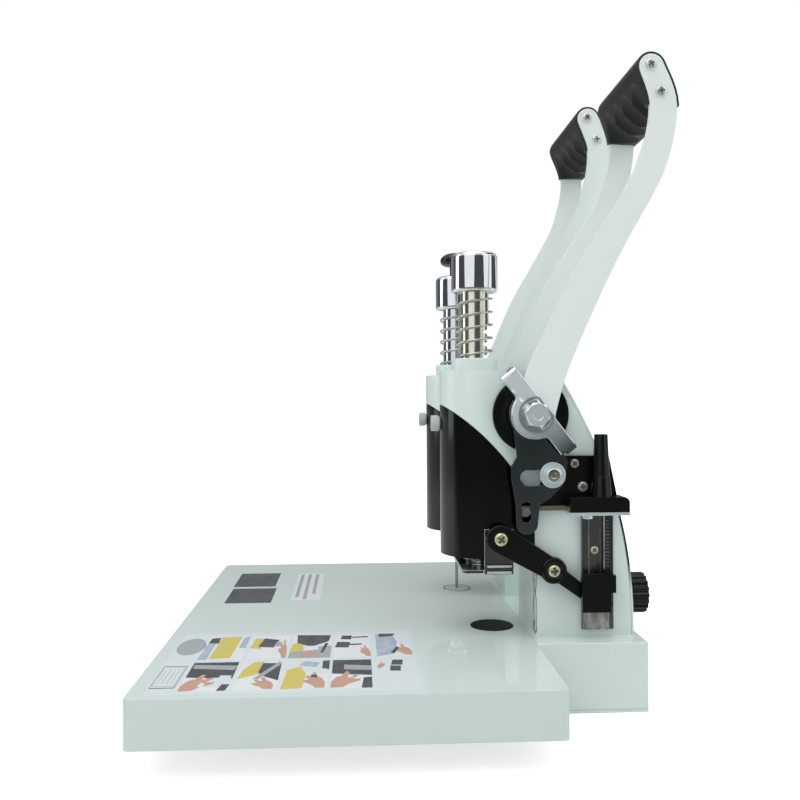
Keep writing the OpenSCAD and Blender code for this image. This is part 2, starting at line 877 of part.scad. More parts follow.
rail_screw = [rail_y + 9.3, table_h + 62];
rail_screw_d = 5.6;
pivot_d = 6;
link_pin_d = 5;
link_head_d = 9.6;
link_head_h = 2.2;
module side_screws() {
    color(gold_zinc) {
        for (p = [[screw_a, 5.4], [screw_b, 7.4]]) {
            xcyl(near_x, near_x + bracket_t, p[0][0], p[0][1], small_screw);
            xcyl(near_x + bracket_t, near_x + bracket_t + 2, p[0][0], p[0][1], p[1]);
        }
        xcyl(near_x + rail_t - 1, near_x + rail_t + 0.2, rail_screw[0], rail_screw[1], rail_screw_d);
        // pivot of the link arm with its shoulder
        xcyl(near_x, link_x - gap, pivot_y, pivot_z, 2 * pivot_d);
        xcyl(link_x - gap, link_x + link_t + gap, pivot_y, pivot_z, pivot_d);
        xcyl(link_x + link_t + gap, link_x + link_t + gap + link_head_h, pivot_y, pivot_z, 8.4);
    }
}

foot_rise = 14.5;
tube_taper = 2;
module tube_guide() {
    color(black)
    difference() {
        union() {
            // foot that narrows upwards, then the slim guide
            translate([tube_x, tube_y, shelf_z1])
            cylinder(h = foot_rise, d1 = tube_base_d, d2 = tube_d + tube_taper + 0.6);
            translate([tube_x, tube_y, shelf_z1 + foot_rise])
            cylinder(h = tube_h - foot_rise, d1 = tube_d + tube_taper, d2 = tube_d - 0.4);
        }
        zcyl(shelf_z1 - 1, shelf_z1 + tube_h + 1, tube_x, tube_y, tube_bore);
    }
}

module cutter_shelf() {
    r = 4;
    color(black)
    difference() {
        yz(shelf_x0, shelf_x1)
        union() {
            translate([shelf_y0, shelf_z0])
            square([shelf_y1 - shelf_y0 - r, shelf_z1 - shelf_z0]);
            translate([shelf_y0, shelf_z0])
            square([shelf_y1 - shelf_y0, shelf_z1 - shelf_z0 - r]);
            translate([shelf_y1 - r, shelf_z1 - r])
            circle(r);
        }
        // channel of the blade
        block([shelf_x0 - 1, shelf_y0 - 1, shelf_z0 - 1], [tube_x + 6.4, tube_y + 8, shelf_z0 + 4]);
        zcyl(shelf_z0, shelf_z1 + 1, tube_x, tube_y, tube_bore + 2 * gap);
    }
}

module cutter_plate() {
    color(zinc)
    difference() {
        block([near_x, shelf_y0, shelf_z0 - 2.2], [shelf_x1, shelf_y1, shelf_z0]);
        zcyl(shelf_z0 - 3, shelf_z0 + 1, tube_x, tube_y, tube_bore + 2 * gap);
    }
}

groove_y = rail_y + 15.2;
groove_w = 3.2;
groove_deep = 2;
module length_rail() {
    color(steel)
    difference() {
        block([near_x, rail_y, rail_z0], [near_x + rail_t, rail_y + rail_w, rail_z1]);
        block([near_x + rail_t - groove_deep, groove_y - groove_w / 2, rail_z0 - 1],
            [near_x + rail_t + 1, groove_y + groove_w / 2, rail_z1 + 1]);
        xcyl(near_x + rail_t - 1, near_x + rail_t + 1, rail_screw[0], rail_screw[1], rail_screw_d);
    }
}

pin_slot = link_out[0] + pivot_y;
slider_pin_d = 4.4;
slot_half = slider_pin_d / 2 + 0.9;
module slider_block() {
    wall = slider_x1 - 5;
    tongue = groove_w / 2 - 0.4;
    pin_z = pivot_z + link_out[1];
    color(black)
    difference() {
        union() {
            block([wall, slider_y0, slider_z0], [slider_x1, slider_y1, slider_z1]);
            block([slider_x, groove_y - 1.5, slider_z0], [wall, slider_y1, slider_z1]);
            // tongue that runs in the groove of the rail
            block([near_x + rail_t - groove_deep + gap, groove_y - tongue, slider_z0],
                [slider_x, groove_y + tongue, slider_z1]);
            // side lug and top finger to move it by hand
            block([slider_x + 3, slider_y1, slider_z0 + 13],
                [slider_x1 - 3, slider_y1 + slider_lug, slider_z1 - 1.3]);
            block([wall, slider_y1 - 4.5, slider_z1], [slider_x1 - 1, slider_y1, slider_z1 + slider_finger]);
        }
        // slot for the pin of the link arm
        block([wall - 1, pin_slot - 2.6, pin_z - slot_half],
            [wall + 3.6, pin_slot + 8.9, pin_z + slot_half]);
    }
}

module link_arm() {
    p = [pivot_y, pivot_z];
    color(black)
    difference() {
        union() {
            yz(link_x, link_x + link_t) {
                bar2d(p, 7.8, p + link_in, 10);
                bar2d(p, 5.6, p + link_out, 4.6);
                translate(p)
                circle(9.5);
            }
            xcyl(link_x + link_t, slider_x1 - 1.8, p[0] + link_out[0], p[1] + link_out[1], slider_pin_d);
        }
        xcyl(link_x - 1, link_x + link_t + 1, p[0], p[1], pivot_d + 2 * run_fit);
        xcyl(link_x - 1, link_x + link_t + 1, p[0] + link_in[0], p[1] + link_in[1], link_pin_d);
    }
}

module link_screw() {
    p = [pivot_y, pivot_z] + link_in;
    color(gold_zinc) {
        xcyl(near_x + 1.7, link_x + link_t, p[0], p[1], link_pin_d);
        xcyl(link_x + link_t, link_x + link_t + link_head_h, p[0], p[1], link_head_d);
    }
}

blade_pin_d = 6;
blade_pin_y = -5;
pin_slot_r = blade_pin_d / 2 + 0.55;
module cutter_rocker() {
    n = 12;
    a0 = -4.6;
    a1 = 17.8;
    up = 4;
    function arc(r, a) = r * [sin(a), -cos(a)];
    color(dark_zinc)
    translate([0, shaft_y, shaft_z])
    yz(rocker_x, rocker_x + rocker_t)
    difference() {
        union() {
            circle(17);
            polygon([[-14, -8], [-11.6, -30], [-15.7, -37.4], [-15.4, -46.3], [-12.4, -64], [-12, -77],
                [-4.5, -80], [3.2, -77], [4.7, -64.2], [11.9, -59.6], [20.9, -51.1], [23.4, -43],
                [24.8, -34.3], [14, -10]]);
            translate([-4.4, -77.2])
            circle(7.8);
        }
        circle(boss_d / 2 + run_fit);
        // curved slot
        polygon(concat(
            [for (i = [0:n]) arc(slot_r - slot_w / 2, a0 + (a1 - a0) * i / n)],
            [for (i = [n:-1:0]) arc(slot_r + slot_w / 2, a0 + (a1 - a0) * i / n)]
        ));
        translate(arc(slot_r, a0))
        circle(slot_w / 2);
        translate(arc(slot_r, a1))
        circle(slot_w / 2);
        // upright slot for the blade pin
        translate([blade_pin_y - pin_slot_r, -blade_drop - up])
        square([2 * pin_slot_r, 2 * up]);
        for (z = [-up, up])
            translate([blade_pin_y, -blade_drop + z])
            circle(pin_slot_r);
    }
}

module cutter_blade() {
    knife_y = tube_y - 12.5;
    knife_x = tube_x + 6;
    bar_x = rocker_x - 0.6;
    bar_z = shelf_z0 + 0.2;
    bar_t = 3.4;
    bevel = 4;
    color(zinc) {
        block([blade_x, shaft_y - 8, bar_z], [bar_x, knife_y, bar_z + bar_t]);
        block([blade_x, shelf_y0 - 1, bar_z], [knife_x, knife_y - bevel, bar_z + bar_t]);
        translate([0, 0, bar_z])
        linear_extrude(2)
        polygon([[blade_x, knife_y - bevel], [knife_x, knife_y - bevel], [knife_x, knife_y],
            [blade_x, knife_y + 2]]);
        xcyl(blade_x, bar_x, shaft_y + blade_pin_y, blade_z, blade_pin_d + 2);
        xcyl(bar_x, rocker_x + rocker_t + 0.6, shaft_y + blade_pin_y, blade_z, blade_pin_d);
    }
}

module drill_arms() {
    color(white)
    arm_pair(drill_x, 0);
}

module rivet_arms() {
    color(white)
    arm_pair(rivet_x, rivet_lean);
}

module drill_grip() {
    color(black)
    grip(drill_x, 0);
}

module rivet_grip() {
    color(black)
    grip(rivet_x, rivet_lean);
}

module drill_grip_screws() {
    color(zinc)
    grip_screw_set(drill_x, 0);
}

module rivet_grip_screws() {
    color(zinc)
    grip_screw_set(rivet_x, rivet_lean);
}

module drill_shaft() {
    color(steel) {
        shaft_set(drill_x, wing_x + wing_t);
        difference() {
            xcyl(boss_x + 0.3, wing_x - arm_t, shaft_y, shaft_z, boss_d);
            xcyl(boss_x, wing_x - arm_t + 1, shaft_y, shaft_z, shaft_d);
        }
    }
}

module rivet_shaft() {
    color(steel)
    shaft_set(rivet_x, rivet_x + arm_out);
}

wing_a = [-17.8, 27.8];
wing_b = [23.4, -24.7];
wing_dir = (wing_b - wing_a) / norm(wing_b - wing_a);
wing_side = [-wing_dir[1], wing_dir[0]];
wing_half = 6.4;
wing_disc = 17.4;
// half plane up to the straight edge of the lever
module wing_edge(in) {
    edge = wing_a + (wing_half - in) * wing_side;
    long = 3 * wing_disc;
    polygon([edge - long * wing_dir, edge + long * wing_dir,
        edge + long * (wing_dir - 2 * wing_side), edge - long * (wing_dir + 2 * wing_side)]);
}

module wing_lever() {
    tab_t = 2.6;
    lower_tab = 2;
    color(zinc)
    translate([0, shaft_y, shaft_z])
    difference() {
        union() {
            yz(wing_x, wing_x + wing_t) {
                intersection() {
                    circle(wing_disc);
                    wing_edge(0);
                }
                polygon([wing_a + wing_half * wing_side, wing_b + wing_half * wing_side,
                    wing_b - wing_half * wing_side, wing_a - wing_half * wing_side]);
            }
            // tabs bent inwards at both ends
            for (q = [[wing_a, wing_half, -tab_t], [wing_b, lower_tab, tab_t]])
                yz(wing_x - tab_deep, wing_x + wing_t)
                polygon([q[0] + wing_half * wing_side, q[0] - q[1] * wing_side,
                    q[0] - q[1] * wing_side + q[2] * wing_dir,
                    q[0] + wing_half * wing_side + q[2] * wing_dir]);
        }
        block([wing_x - 1, -square_w / 2, -square_w / 2],
            [wing_x + wing_t + 1, square_w / 2, square_w / 2]);
    }
}

washer_d = 25;
washer_t = 1.8;
hex_d = 18.5;
hex_h = 6.4;
module shaft_bolt() {
    x = wing_x + wing_t;
    color(zinc) {
        // lock washer with one flat beside the straight edge of the lever
        translate([0, shaft_y, shaft_z])
        yz(x, x + washer_t)
        intersection() {
            circle(washer_d / 2);
            wing_edge(gap);
        }
        translate([x + washer_t, shaft_y, shaft_z])
        rotate([0, 90, 0])
        cylinder(h = hex_h, d = hex_d, $fn = 6);
    }
}

module drill_ram() {
    color(gold_zinc)
    ram(drill_x, 0);
}

module rivet_ram() {
    color(steel)
    ram(rivet_x, rod_bore);
}

module drill_cap() {
    color(chrome)
    ram_cap(drill_x, 0);
}

module rivet_cap() {
    color(chrome)
    ram_cap(rivet_x, stem_d + 2 * run_fit);
}

module drill_spring() {
    color(zinc)
    wire_coil(drill_x, ram_y, spring_z0, cap_z, (spring_d - spring_wire) / 2, spring_wire, spring_turns);
}

module rivet_spring() {
    color(zinc)
    wire_coil(rivet_x, ram_y, spring_z0, cap_z, (spring_d - spring_wire) / 2, spring_wire, spring_turns);
}

motor_z0 = flange_z + 14;
flange_t = 4;
motor_z1 = ram_z0 - 4;
cage_x = half_w - cover_t - 1.6;
module drill_carriage() {
    color(steel)
    difference() {
        intersection() {
            union() {
                block([drill_x - cage_x, ram_y - 16, motor_z1], [drill_x + cage_x, ram_y + 14, ram_z0]);
                for (s = [-1, 1])
                    block([drill_x + s * (cage_x - 1) - 1, bow_y, flange_z],
                        [drill_x + s * (cage_x - 1) + 1, bow_y + 9, motor_z1]);
                block([drill_x - cage_x, ram_y - 16, flange_z],
                    [drill_x + cage_x, ram_y + 16, flange_z + flange_t]);
            }
            translate([drill_x, 0, flange_z])
            linear_extrude(ram_z0 - flange_z)
            head_plan(cage_x, 0);
        }
        zcyl(flange_z - 1, flange_z + flange_t + 1, drill_x, ram_y, chuck_d + 2 * gap);
        for (s = [-1, 1])
            zcyl(flange_z - 1, flange_z + flange_t + 1, drill_x + s * rod_x, ram_y, rod_d + 2 * run_fit);
    }
}

module drill_motor() {
    color(steel)
    difference() {
        zcyl(motor_z0, motor_z1, drill_x, ram_y, motor_d);
        zcyl(motor_z0 - 1, motor_z0 + 9, drill_x, ram_y, spindle_d + 2 * run_fit);
    }
}

chuck_z = presser_z + presser_t + 3.5;
drill_tip = table_h + pad_proud + stroke + gap;
drill_in = 12;
drill_wall = 0.8;
module drill_chuck() {
    color(steel)
    difference() {
        union() {
            zcyl(chuck_z, motor_z0 - 1, drill_x, ram_y, chuck_d);
            zcyl(motor_z0 - 1, motor_z0 + 8, drill_x, ram_y, spindle_d);
        }
        zcyl(chuck_z - 1, chuck_z + drill_in, drill_x, ram_y, drill_d);
    }
}

module hollow_drill() {
    color(steel)
    difference() {
        zcyl(drill_tip, chuck_z + drill_in, drill_x, ram_y, drill_d);
        zcyl(drill_tip - 1, chuck_z + drill_in - 1, drill_x, ram_y, drill_d - 2 * drill_wall);
    }
}

module presser_plate() {
    bx = near_x + 1.4;
    ear_t = 2;
    ear_run = 6.6;
    ear_slot_r = link_pin_d / 2 + 0.8;
    p = [pivot_y, pivot_z] + link_in;
    color(zinc)
    difference() {
        union() {
            translate([0, 0, presser_z])
            linear_extrude(presser_t)
            round_rect(drill_x - half_w + 1, ram_y - 13.5, drill_x + half_w - 1, ram_y + 22, 4);
            block([drill_x + half_w - 10, p[0] - 11, presser_z],
                [bx + ear_t, p[0] + 10, presser_z + presser_t]);
            block([bx, p[0] - 11, presser_z], [bx + ear_t, p[0] + 10, p[1] + 6.5]);
        }
        zcyl(presser_z - 1, presser_z + presser_t + 1, drill_x, ram_y, drill_d + 3);
        for (s = [-1, 1])
            zcyl(presser_z - 1, presser_z + presser_t + 1, drill_x + s * rod_x, ram_y, rod_d);
        // slot that lets the link end slide
        yz(bx - 1, bx + ear_t + 1) {
            translate([p[0] - ear_run, p[1] - ear_slot_r])
            square([ear_run + 0.4, 2 * ear_slot_r]);
            for (y = [-ear_run, 0.4])
                translate([p[0] + y, p[1]])
                circle(ear_slot_r);
        }
    }
}

module presser_rods() {
    color(zinc)
    for (s = [-1, 1]) {
        zcyl(presser_z, flange_z + 4.3, drill_x + s * rod_x, ram_y, rod_d);
        zcyl(flange_z + 4.3, flange_z + 6.5, drill_x + s * rod_x, ram_y, rod_d + 3);
    }
}

press_wire = 1.2;
press_turns = 5;
module presser_springs() {
    color(zinc)
    for (s = [-1, 1])
        wire_coil(drill_x + s * rod_x, ram_y, presser_z + presser_t, flange_z,
            rod_d / 2 + 1.6, press_wire, press_turns);
}

module heater_block() {
    color(steel)
    difference() {
        block([rivet_x - 20, ram_y - 16, ram_z0 - heater_h], [rivet_x + 20, ram_y + 14, ram_z0]);
        zcyl(ram_z0 - heater_h - 1, ram_z0 + 1, rivet_x, ram_y, rod_bore);
    }
}

die_z = table_h + die_lip + stroke + 1;
die_nose = 8;
module upper_die() {
    color(steel)
    difference() {
        union() {
            zcyl(die_z + die_nose, ram_z0 - heater_h, rivet_x, ram_y, 18);
            translate([rivet_x, ram_y, die_z])
            rotate_extrude()
            polygon([[0, 0], [5.5, 0], [7, 3], [7, die_nose], [0, die_nose]]);
        }
        zcyl(die_z - 1, ram_z0 - heater_h + 1, rivet_x, ram_y, rod_bore);
    }
}

cap_top = cap_z + cap_h;
knob_lift = 10.4;
stem_low = 16;
module ejector_knob() {
    r = mushroom_d / 2;
    color(black) {
        translate([rivet_x, ram_y, cap_top + knob_lift])
        rotate_extrude()
        polygon([[0, 0], [r - 3, 0], [r - 0.8, 1.6], [r, 4], [r - 0.6, 6.6], [r - 3, 9],
            [r - 6, 10.4], [0, 10.9]]);
        zcyl(cap_z + stem_low, cap_top + knob_lift, rivet_x, ram_y, stem_d);
        zcyl(shaft_z - 66, cap_z + stem_low, rivet_x, ram_y, rod_d + 1);
    }
}

module trim_knob() {
    ribs = 18;
    color(black) {
        translate([knob_x, back_y + knob_off + knob_l, knob_z])
        rotate([90, 0, 0])
        linear_extrude(knob_l)
        polygon([for (i = [0:4 * ribs - 1])
            polar(knob_d / 2 - (i % 4 < 2 ? 0 : 1.2), i * 90 / ribs)]);
        ycyl(back_y - 8, back_y + knob_off, knob_x, knob_z, knob_stem_d);
    }
}

table_top();
rear_base();
chassis();
rubber_feet();
drill_frame();
rivet_frame();
drill_rear_cover();
rivet_rear_cover();
drill_cover();
rivet_cover();
drill_hand_screw();
rivet_hand_screw();
drill_collar();
rivet_collar();
drill_hubs();
rivet_hubs();
drill_pad();
rivet_die();
locating_pin();
cutter_bracket();
rocker_bolt();
side_screws();
tube_guide();
cutter_shelf();
cutter_plate();
length_rail();
slider_block();
link_arm();
link_screw();
cutter_rocker();
cutter_blade();
drill_arms();
drill_grip();
drill_grip_screws();
drill_shaft();
wing_lever();
shaft_bolt();
drill_ram();
drill_cap();
drill_spring();
drill_carriage();
drill_motor();
drill_chuck();
hollow_drill();
presser_plate();
presser_rods();
presser_springs();
rivet_arms();
rivet_grip();
rivet_grip_screws();
rivet_shaft();
rivet_ram();
rivet_cap();
rivet_spring();
heater_block();
upper_die();
ejector_knob();
trim_knob();
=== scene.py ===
import json
import math

import bmesh
import bpy
from mathutils import Matrix, Vector

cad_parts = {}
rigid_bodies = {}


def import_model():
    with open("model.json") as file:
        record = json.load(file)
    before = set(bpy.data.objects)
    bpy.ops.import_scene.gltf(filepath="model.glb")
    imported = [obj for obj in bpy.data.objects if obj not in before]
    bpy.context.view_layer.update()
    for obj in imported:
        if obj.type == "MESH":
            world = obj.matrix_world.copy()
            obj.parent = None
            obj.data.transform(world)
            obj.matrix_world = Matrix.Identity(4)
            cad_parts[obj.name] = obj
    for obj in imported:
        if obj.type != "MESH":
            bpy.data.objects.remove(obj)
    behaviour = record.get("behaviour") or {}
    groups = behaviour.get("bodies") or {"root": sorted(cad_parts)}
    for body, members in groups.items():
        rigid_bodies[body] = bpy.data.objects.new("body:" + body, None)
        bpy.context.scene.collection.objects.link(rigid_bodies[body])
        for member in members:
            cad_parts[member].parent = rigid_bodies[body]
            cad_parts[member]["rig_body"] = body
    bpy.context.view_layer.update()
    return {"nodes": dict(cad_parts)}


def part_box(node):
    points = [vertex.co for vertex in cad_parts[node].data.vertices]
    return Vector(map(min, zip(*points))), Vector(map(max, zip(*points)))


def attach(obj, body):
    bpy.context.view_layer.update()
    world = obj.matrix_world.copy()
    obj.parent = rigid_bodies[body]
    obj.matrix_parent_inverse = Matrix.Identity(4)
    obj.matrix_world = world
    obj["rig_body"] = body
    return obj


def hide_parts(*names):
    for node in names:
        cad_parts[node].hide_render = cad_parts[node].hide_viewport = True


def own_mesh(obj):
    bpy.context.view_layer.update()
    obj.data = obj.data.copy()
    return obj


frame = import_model()


# ---- The studio: the camera stands at the right-hand end of the machine, level with the handle shafts.
# Two tall soft boxes stand beside it, a narrow one on the left and a larger one overhead, over a pale floor.
MM = 0.001
scene = bpy.context.scene
EYE = Vector((0.6973, -0.1644, 0.2208))
YAW, PITCH, ROLL = 0.0501, -0.0018, -0.0051
ahead = Vector((-math.cos(YAW) * math.cos(PITCH), math.sin(YAW) * math.cos(PITCH), math.sin(PITCH)))
level = ahead.cross(Vector((0, 0, 1))).normalized()
up = level.cross(ahead)
right = level * math.cos(ROLL) + up * math.sin(ROLL)
top = up * math.cos(ROLL) - level * math.sin(ROLL)
camera = bpy.data.objects.new("camera", bpy.data.cameras.new("camera"))
camera.data.sensor_width = 36
camera.data.lens = 38.62
camera.data.clip_start = 0.01
camera.matrix_world = Matrix.Translation(EYE) @ Matrix((right, top, -ahead)).transposed().to_4x4()
scene.collection.objects.link(camera)
scene.camera = camera
scene.view_settings.view_transform = "Standard"


def soft_box(name, place, aim, size, power):
    """An area lamp that faces a point of the machine: places and size in metres, power in watts."""
    light = bpy.data.lights.new(name, "AREA")
    light.shape = "RECTANGLE"
    light.size, light.size_y = size
    light.energy = power
    holder = bpy.data.objects.new(name, light)
    holder.location = place
    holder.rotation_euler = (Vector(aim) - Vector(place)).to_track_quat("-Z", "Y").to_euler()
    scene.collection.objects.link(holder)


HEADS_AT = (0.05, -0.08, 0.40)
soft_box("box_overhead", (0.10, -0.20, 1.8), (0, -0.1, 0.1), (1.5, 1.5), 11.3)
soft_box("box_front", (0.92, -0.62, 0.82), HEADS_AT, (1.05, 1.3), 3.6)
soft_box("box_rear", (0.62, 1.05, 0.80), HEADS_AT, (1.15, 1.5), 4.6)
soft_box("box_left", (-0.20, -1.35, 0.80), HEADS_AT, (0.5, 1.4), 3.1)


def feed(tree, value, socket):
    """Gives a socket another node's result, or a plain value."""
    if isinstance(value, bpy.types.NodeSocket):
        tree.links.new(value, socket)
    else:
        socket.default_value = value


def worked(tree, operation, *values):
    """One step of arithmetic on sockets or numbers."""
    node = tree.nodes.new("ShaderNodeMath")
    node.operation = operation
    for value, socket in zip(values, node.inputs):
        feed(tree, value, socket)
    return node.outputs[0]


def times(tree, a, b):
    """Two shares multiplied."""
    return worked(tree, "MULTIPLY", a, b)


def ramp(tree, value, start, end, low=0.0, high=1.0):
    """A share that goes from low at start to high at end."""
    node = tree.nodes.new("ShaderNodeMapRange")
    for name, given in (("Value", value), ("From Min", start), ("From Max", end),
                        ("To Min", low), ("To Max", high)):
        feed(tree, given, node.inputs[name])
    return node.outputs["Result"]


def blend_colour(tree, amount, first, second):
    """Mixes two colours, or a socket and a colour, by a varying amount."""
    mix = tree.nodes.new("ShaderNodeMix")
    mix.data_type = "RGBA"
    feed(tree, amount, mix.inputs["Factor"])
    for value, socket in zip((first, second), [s for s in mix.inputs if s.type == "RGBA"]):
        feed(tree, value if isinstance(value, bpy.types.NodeSocket) else (*value, 1), socket)
    return next(o for o in mix.outputs if o.type == "RGBA")


# the room: dark at eye level, pale overhead and a little paler behind the machine; the eye itself sees white
HORIZON, SKY = (0.06, 0.066, 0.072), (0.57, 0.59, 0.59)
world = bpy.data.worlds.new("studio")
world.use_nodes = True
scene.world = world
room = world.node_tree
facing = room.nodes.new("ShaderNodeTexCoord")
axes = room.nodes.new("ShaderNodeSeparateXYZ")
room.links.new(facing.outputs["Generated"], axes.inputs["Vector"])
overhead = ramp(room, axes.outputs["Z"], 0.30, 0.62)
behind = ramp(room, axes.outputs["X"], -0.55, -0.80, 0.0, 0.25)
walls = room.nodes["Background"]
walls.inputs["Strength"].default_value = 1.0
room.links.new(blend_colour(room, worked(room, "MAXIMUM", overhead, behind), HORIZON, SKY), walls.inputs["Color"])
backdrop = room.nodes.new("ShaderNodeBackground")
backdrop.inputs["Color"].default_value = (1, 1, 1, 1)
ray = room.nodes.new("ShaderNodeLightPath")
either = room.nodes.new("ShaderNodeMixShader")
room.links.new(ray.outputs["Is Camera Ray"], either.inputs["Fac"])
room.links.new(walls.outputs[0], either.inputs[1])
room.links.new(backdrop.outputs[0], either.inputs[2])
room.links.new(either.outputs[0], room.nodes["World Output"].inputs["Surface"])


def grain_group():
    """Soft cloudy variation for colour, gloss and bump: one noise, spread between two values."""
    group = bpy.data.node_groups.new("cloudy grain", "ShaderNodeTree")
    group.interface.new_socket("Vector", in_out="INPUT", socket_type="NodeSocketVector")
    for name, value in (("Scale", 40.0), ("Detail", 3.0), ("Low", 0.0), ("High", 1.0)):
        group.interface.new_socket(name, in_out="INPUT", socket_type="NodeSocketFloat").default_value = value
    group.interface.new_socket("Value", in_out="OUTPUT", socket_type="NodeSocketFloat")
    enter = group.nodes.new("NodeGroupInput")
    leave = group.nodes.new("NodeGroupOutput")
    noise = group.nodes.new("ShaderNodeTexNoise")
    for name in ("Vector", "Scale", "Detail"):
        group.links.new(enter.outputs[name], noise.inputs[name])
    spread = ramp(group, noise.outputs["Fac"], 0.2, 0.8, enter.outputs["Low"], enter.outputs["High"])
    group.links.new(spread, leave.inputs["Value"])
    return group


GRAIN = grain_group()


def grain(tree, place, scale, low, high, detail=3.0):
    """One use of the cloudy grain in a material; returns the socket that varies."""
    node = tree.nodes.new("ShaderNodeGroup")
    node.node_tree = GRAIN
    for name, value in (("Scale", scale), ("Detail", detail), ("Low", low), ("High", high)):
        node.inputs[name].default_value = value
    tree.links.new(place, node.inputs["Vector"])
    return node.outputs["Value"]


def finish(name, pale, deep, gloss, cloud, tooth, bump, metal=0.0, coat=0.0, stretch=(1, 1, 1), shine=0.5):
    """A finish whose colour, gloss and surface vary: pale and deep are its two colours, gloss its two values of
    roughness, and cloud and tooth the size of the patterns for colour and for bump, as patterns per metre."""
    made = bpy.data.materials.new(name)
    made.use_nodes = True
    tree = made.node_tree
    skin = tree.nodes["Principled BSDF"]
    skin.inputs["Metallic"].default_value = metal
    skin.inputs["Coat Weight"].default_value = coat
    skin.inputs["Coat Roughness"].default_value = 0.06
    skin.inputs["Specular IOR Level"].default_value = shine
    where = tree.nodes.new("ShaderNodeTexCoord")
    turn = tree.nodes.new("ShaderNodeMapping")
    turn.inputs["Scale"].default_value = stretch
    tree.links.new(where.outputs["Object"], turn.inputs["Vector"])
    place = turn.outputs["Vector"]
    colour = blend_colour(tree, grain(tree, place, cloud, 0, 1), pale, deep)
    tree.links.new(colour, skin.inputs["Base Color"])
    tree.links.new(grain(tree, place, cloud * 4, gloss[0], gloss[1]), skin.inputs["Roughness"])
    relief = tree.nodes.new("ShaderNodeBump")
    relief.inputs["Strength"].default_value = bump
    relief.inputs["Distance"].default_value = 0.1 * MM
    tree.links.new(grain(tree, place, tooth, 0, 1, 4.0), relief.inputs["Height"])
    tree.links.new(relief.outputs["Normal"], skin.inputs["Normal"])
    return made


def place_in(material):
    """The node tree of a finish, its place on the piece and that place's three coordinates."""
    tree = material.node_tree
    place = next(n for n in tree.nodes if n.type == "MAPPING").outputs["Vector"]
    split = tree.nodes.new("ShaderNodeSeparateXYZ")
    tree.links.new(place, split.inputs["Vector"])
    return tree, place, split.outputs


def tint(material, share, colour):
    """Turns a finish's colour into another one by a share between 0 and 1."""
    tree = material.node_tree
    base = tree.nodes["Principled BSDF"].inputs["Base Color"]
    tree.links.new(blend_colour(tree, share, base.links[0].from_socket, colour), base)


def painted_floor_glow(material, start, end):
    """A floor with a painted glow that only the camera sees, paler with distance, like a long white studio sheet.
    Mirrors see a painted dark reflection on it beyond the machine's right end, where an unlit room would be."""
    tree, place, at = place_in(material)
    skin = tree.nodes["Principled BSDF"]
    far = tree.nodes.new("ShaderNodeVectorMath")
    far.operation = "LENGTH"
    tree.links.new(place, far.inputs[0])
    seen = tree.nodes.new("ShaderNodeLightPath").outputs
    glow = times(tree, ramp(tree, far.outputs["Value"], start, end, 0.66, 0.90), seen["Is Camera Ray"])
    skin.inputs["Emission Strength"].default_value = 1.0
    tree.links.new(blend_colour(tree, glow, (0, 0, 0), (1, 1, 1)), skin.inputs["Emission Color"])
    # painted dark reflection: for mirror rays the floor turns dark on the camera's side of the machine
    painted_dark_reflection = ramp(tree, at["X"], 0.0, 0.3)
    tint(material, times(tree, painted_dark_reflection, seen["Is Glossy Ray"]), (0.16, 0.16, 0.16))


floor_sheet = finish("floor_sheet", (0.88, 0.885, 0.885), (0.87, 0.875, 0.875), (0.7, 0.8), 3, 200, 0.01)
painted_floor_glow(floor_sheet, 0.4, 1.6)
FLOOR = 12.0
floor_mesh = bpy.data.meshes.new("floor")
floor_mesh.from_pydata([(-FLOOR, -FLOOR, 0), (FLOOR, -FLOOR, 0), (FLOOR, FLOOR, 0), (-FLOOR, FLOOR, 0)],
                       [], [(0, 1, 2, 3)])
floor_mesh.materials.append(floor_sheet)
floor = bpy.data.objects.new("floor", floor_mesh)
floor.location.z = -0.2 * MM
scene.collection.objects.link(floor)


# ---- The table: one steel sheet folded down on all four sides and stove enamelled in a cool white.
# A narrow flange runs on behind it beyond the base. The top carries a sheet of work steps and plain dark panels.
nodes = frame["nodes"]
WELD = 2e-6             # corners of the CAD's loose triangles that lie closer than this are one, in metres
SAME_PLANE = 0.4        # faces that differ by less than this are one face, in degrees


def plain(piece):
    """Turns what the modifiers make into the piece's own mesh."""
    made = bpy.data.meshes.new_from_object(piece.evaluated_get(bpy.context.evaluated_depsgraph_get()))
    old = piece.data
    piece.modifiers.clear()
    piece.data = made
    bpy.data.meshes.remove(old)
    made.name = piece.name


def merged(mesh):
    """A mesh opened for work, with the loose corners of its faces joined."""
    bm = bmesh.new()
    bm.from_mesh(mesh)
    bmesh.ops.remove_doubles(bm, verts=bm.verts, dist=WELD)
    return bm


def shaded(bm, sharp_from):
    """Smooth faces, with only the corners from an angle in degrees left sharp."""
    for e in bm.edges:
        e.smooth = len(e.link_faces) == 2 and e.calc_face_angle(0) < math.radians(sharp_from)
    for f in bm.faces:
        f.smooth = True


def piece_from(name, bm, sharp_from=42):
    """A new piece from built faces: all turn outwards, and only true corners stay sharp."""
    bmesh.ops.recalc_face_normals(bm, faces=bm.faces)
    shaded(bm, sharp_from)
    mesh = bpy.data.meshes.new(name)
    bm.to_mesh(mesh)
    bm.free()
    piece = bpy.data.objects.new(name, mesh)
    scene.collection.objects.link(piece)
    return piece


def fitted(piece, body, materials, stands_for=()):
    """Gives a piece its finish and ties it to the body that it moves with."""
    for material in materials:
        piece.data.materials.append(material)
    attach(piece, body)
    if stands_for:
        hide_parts(*stands_for)
    return piece


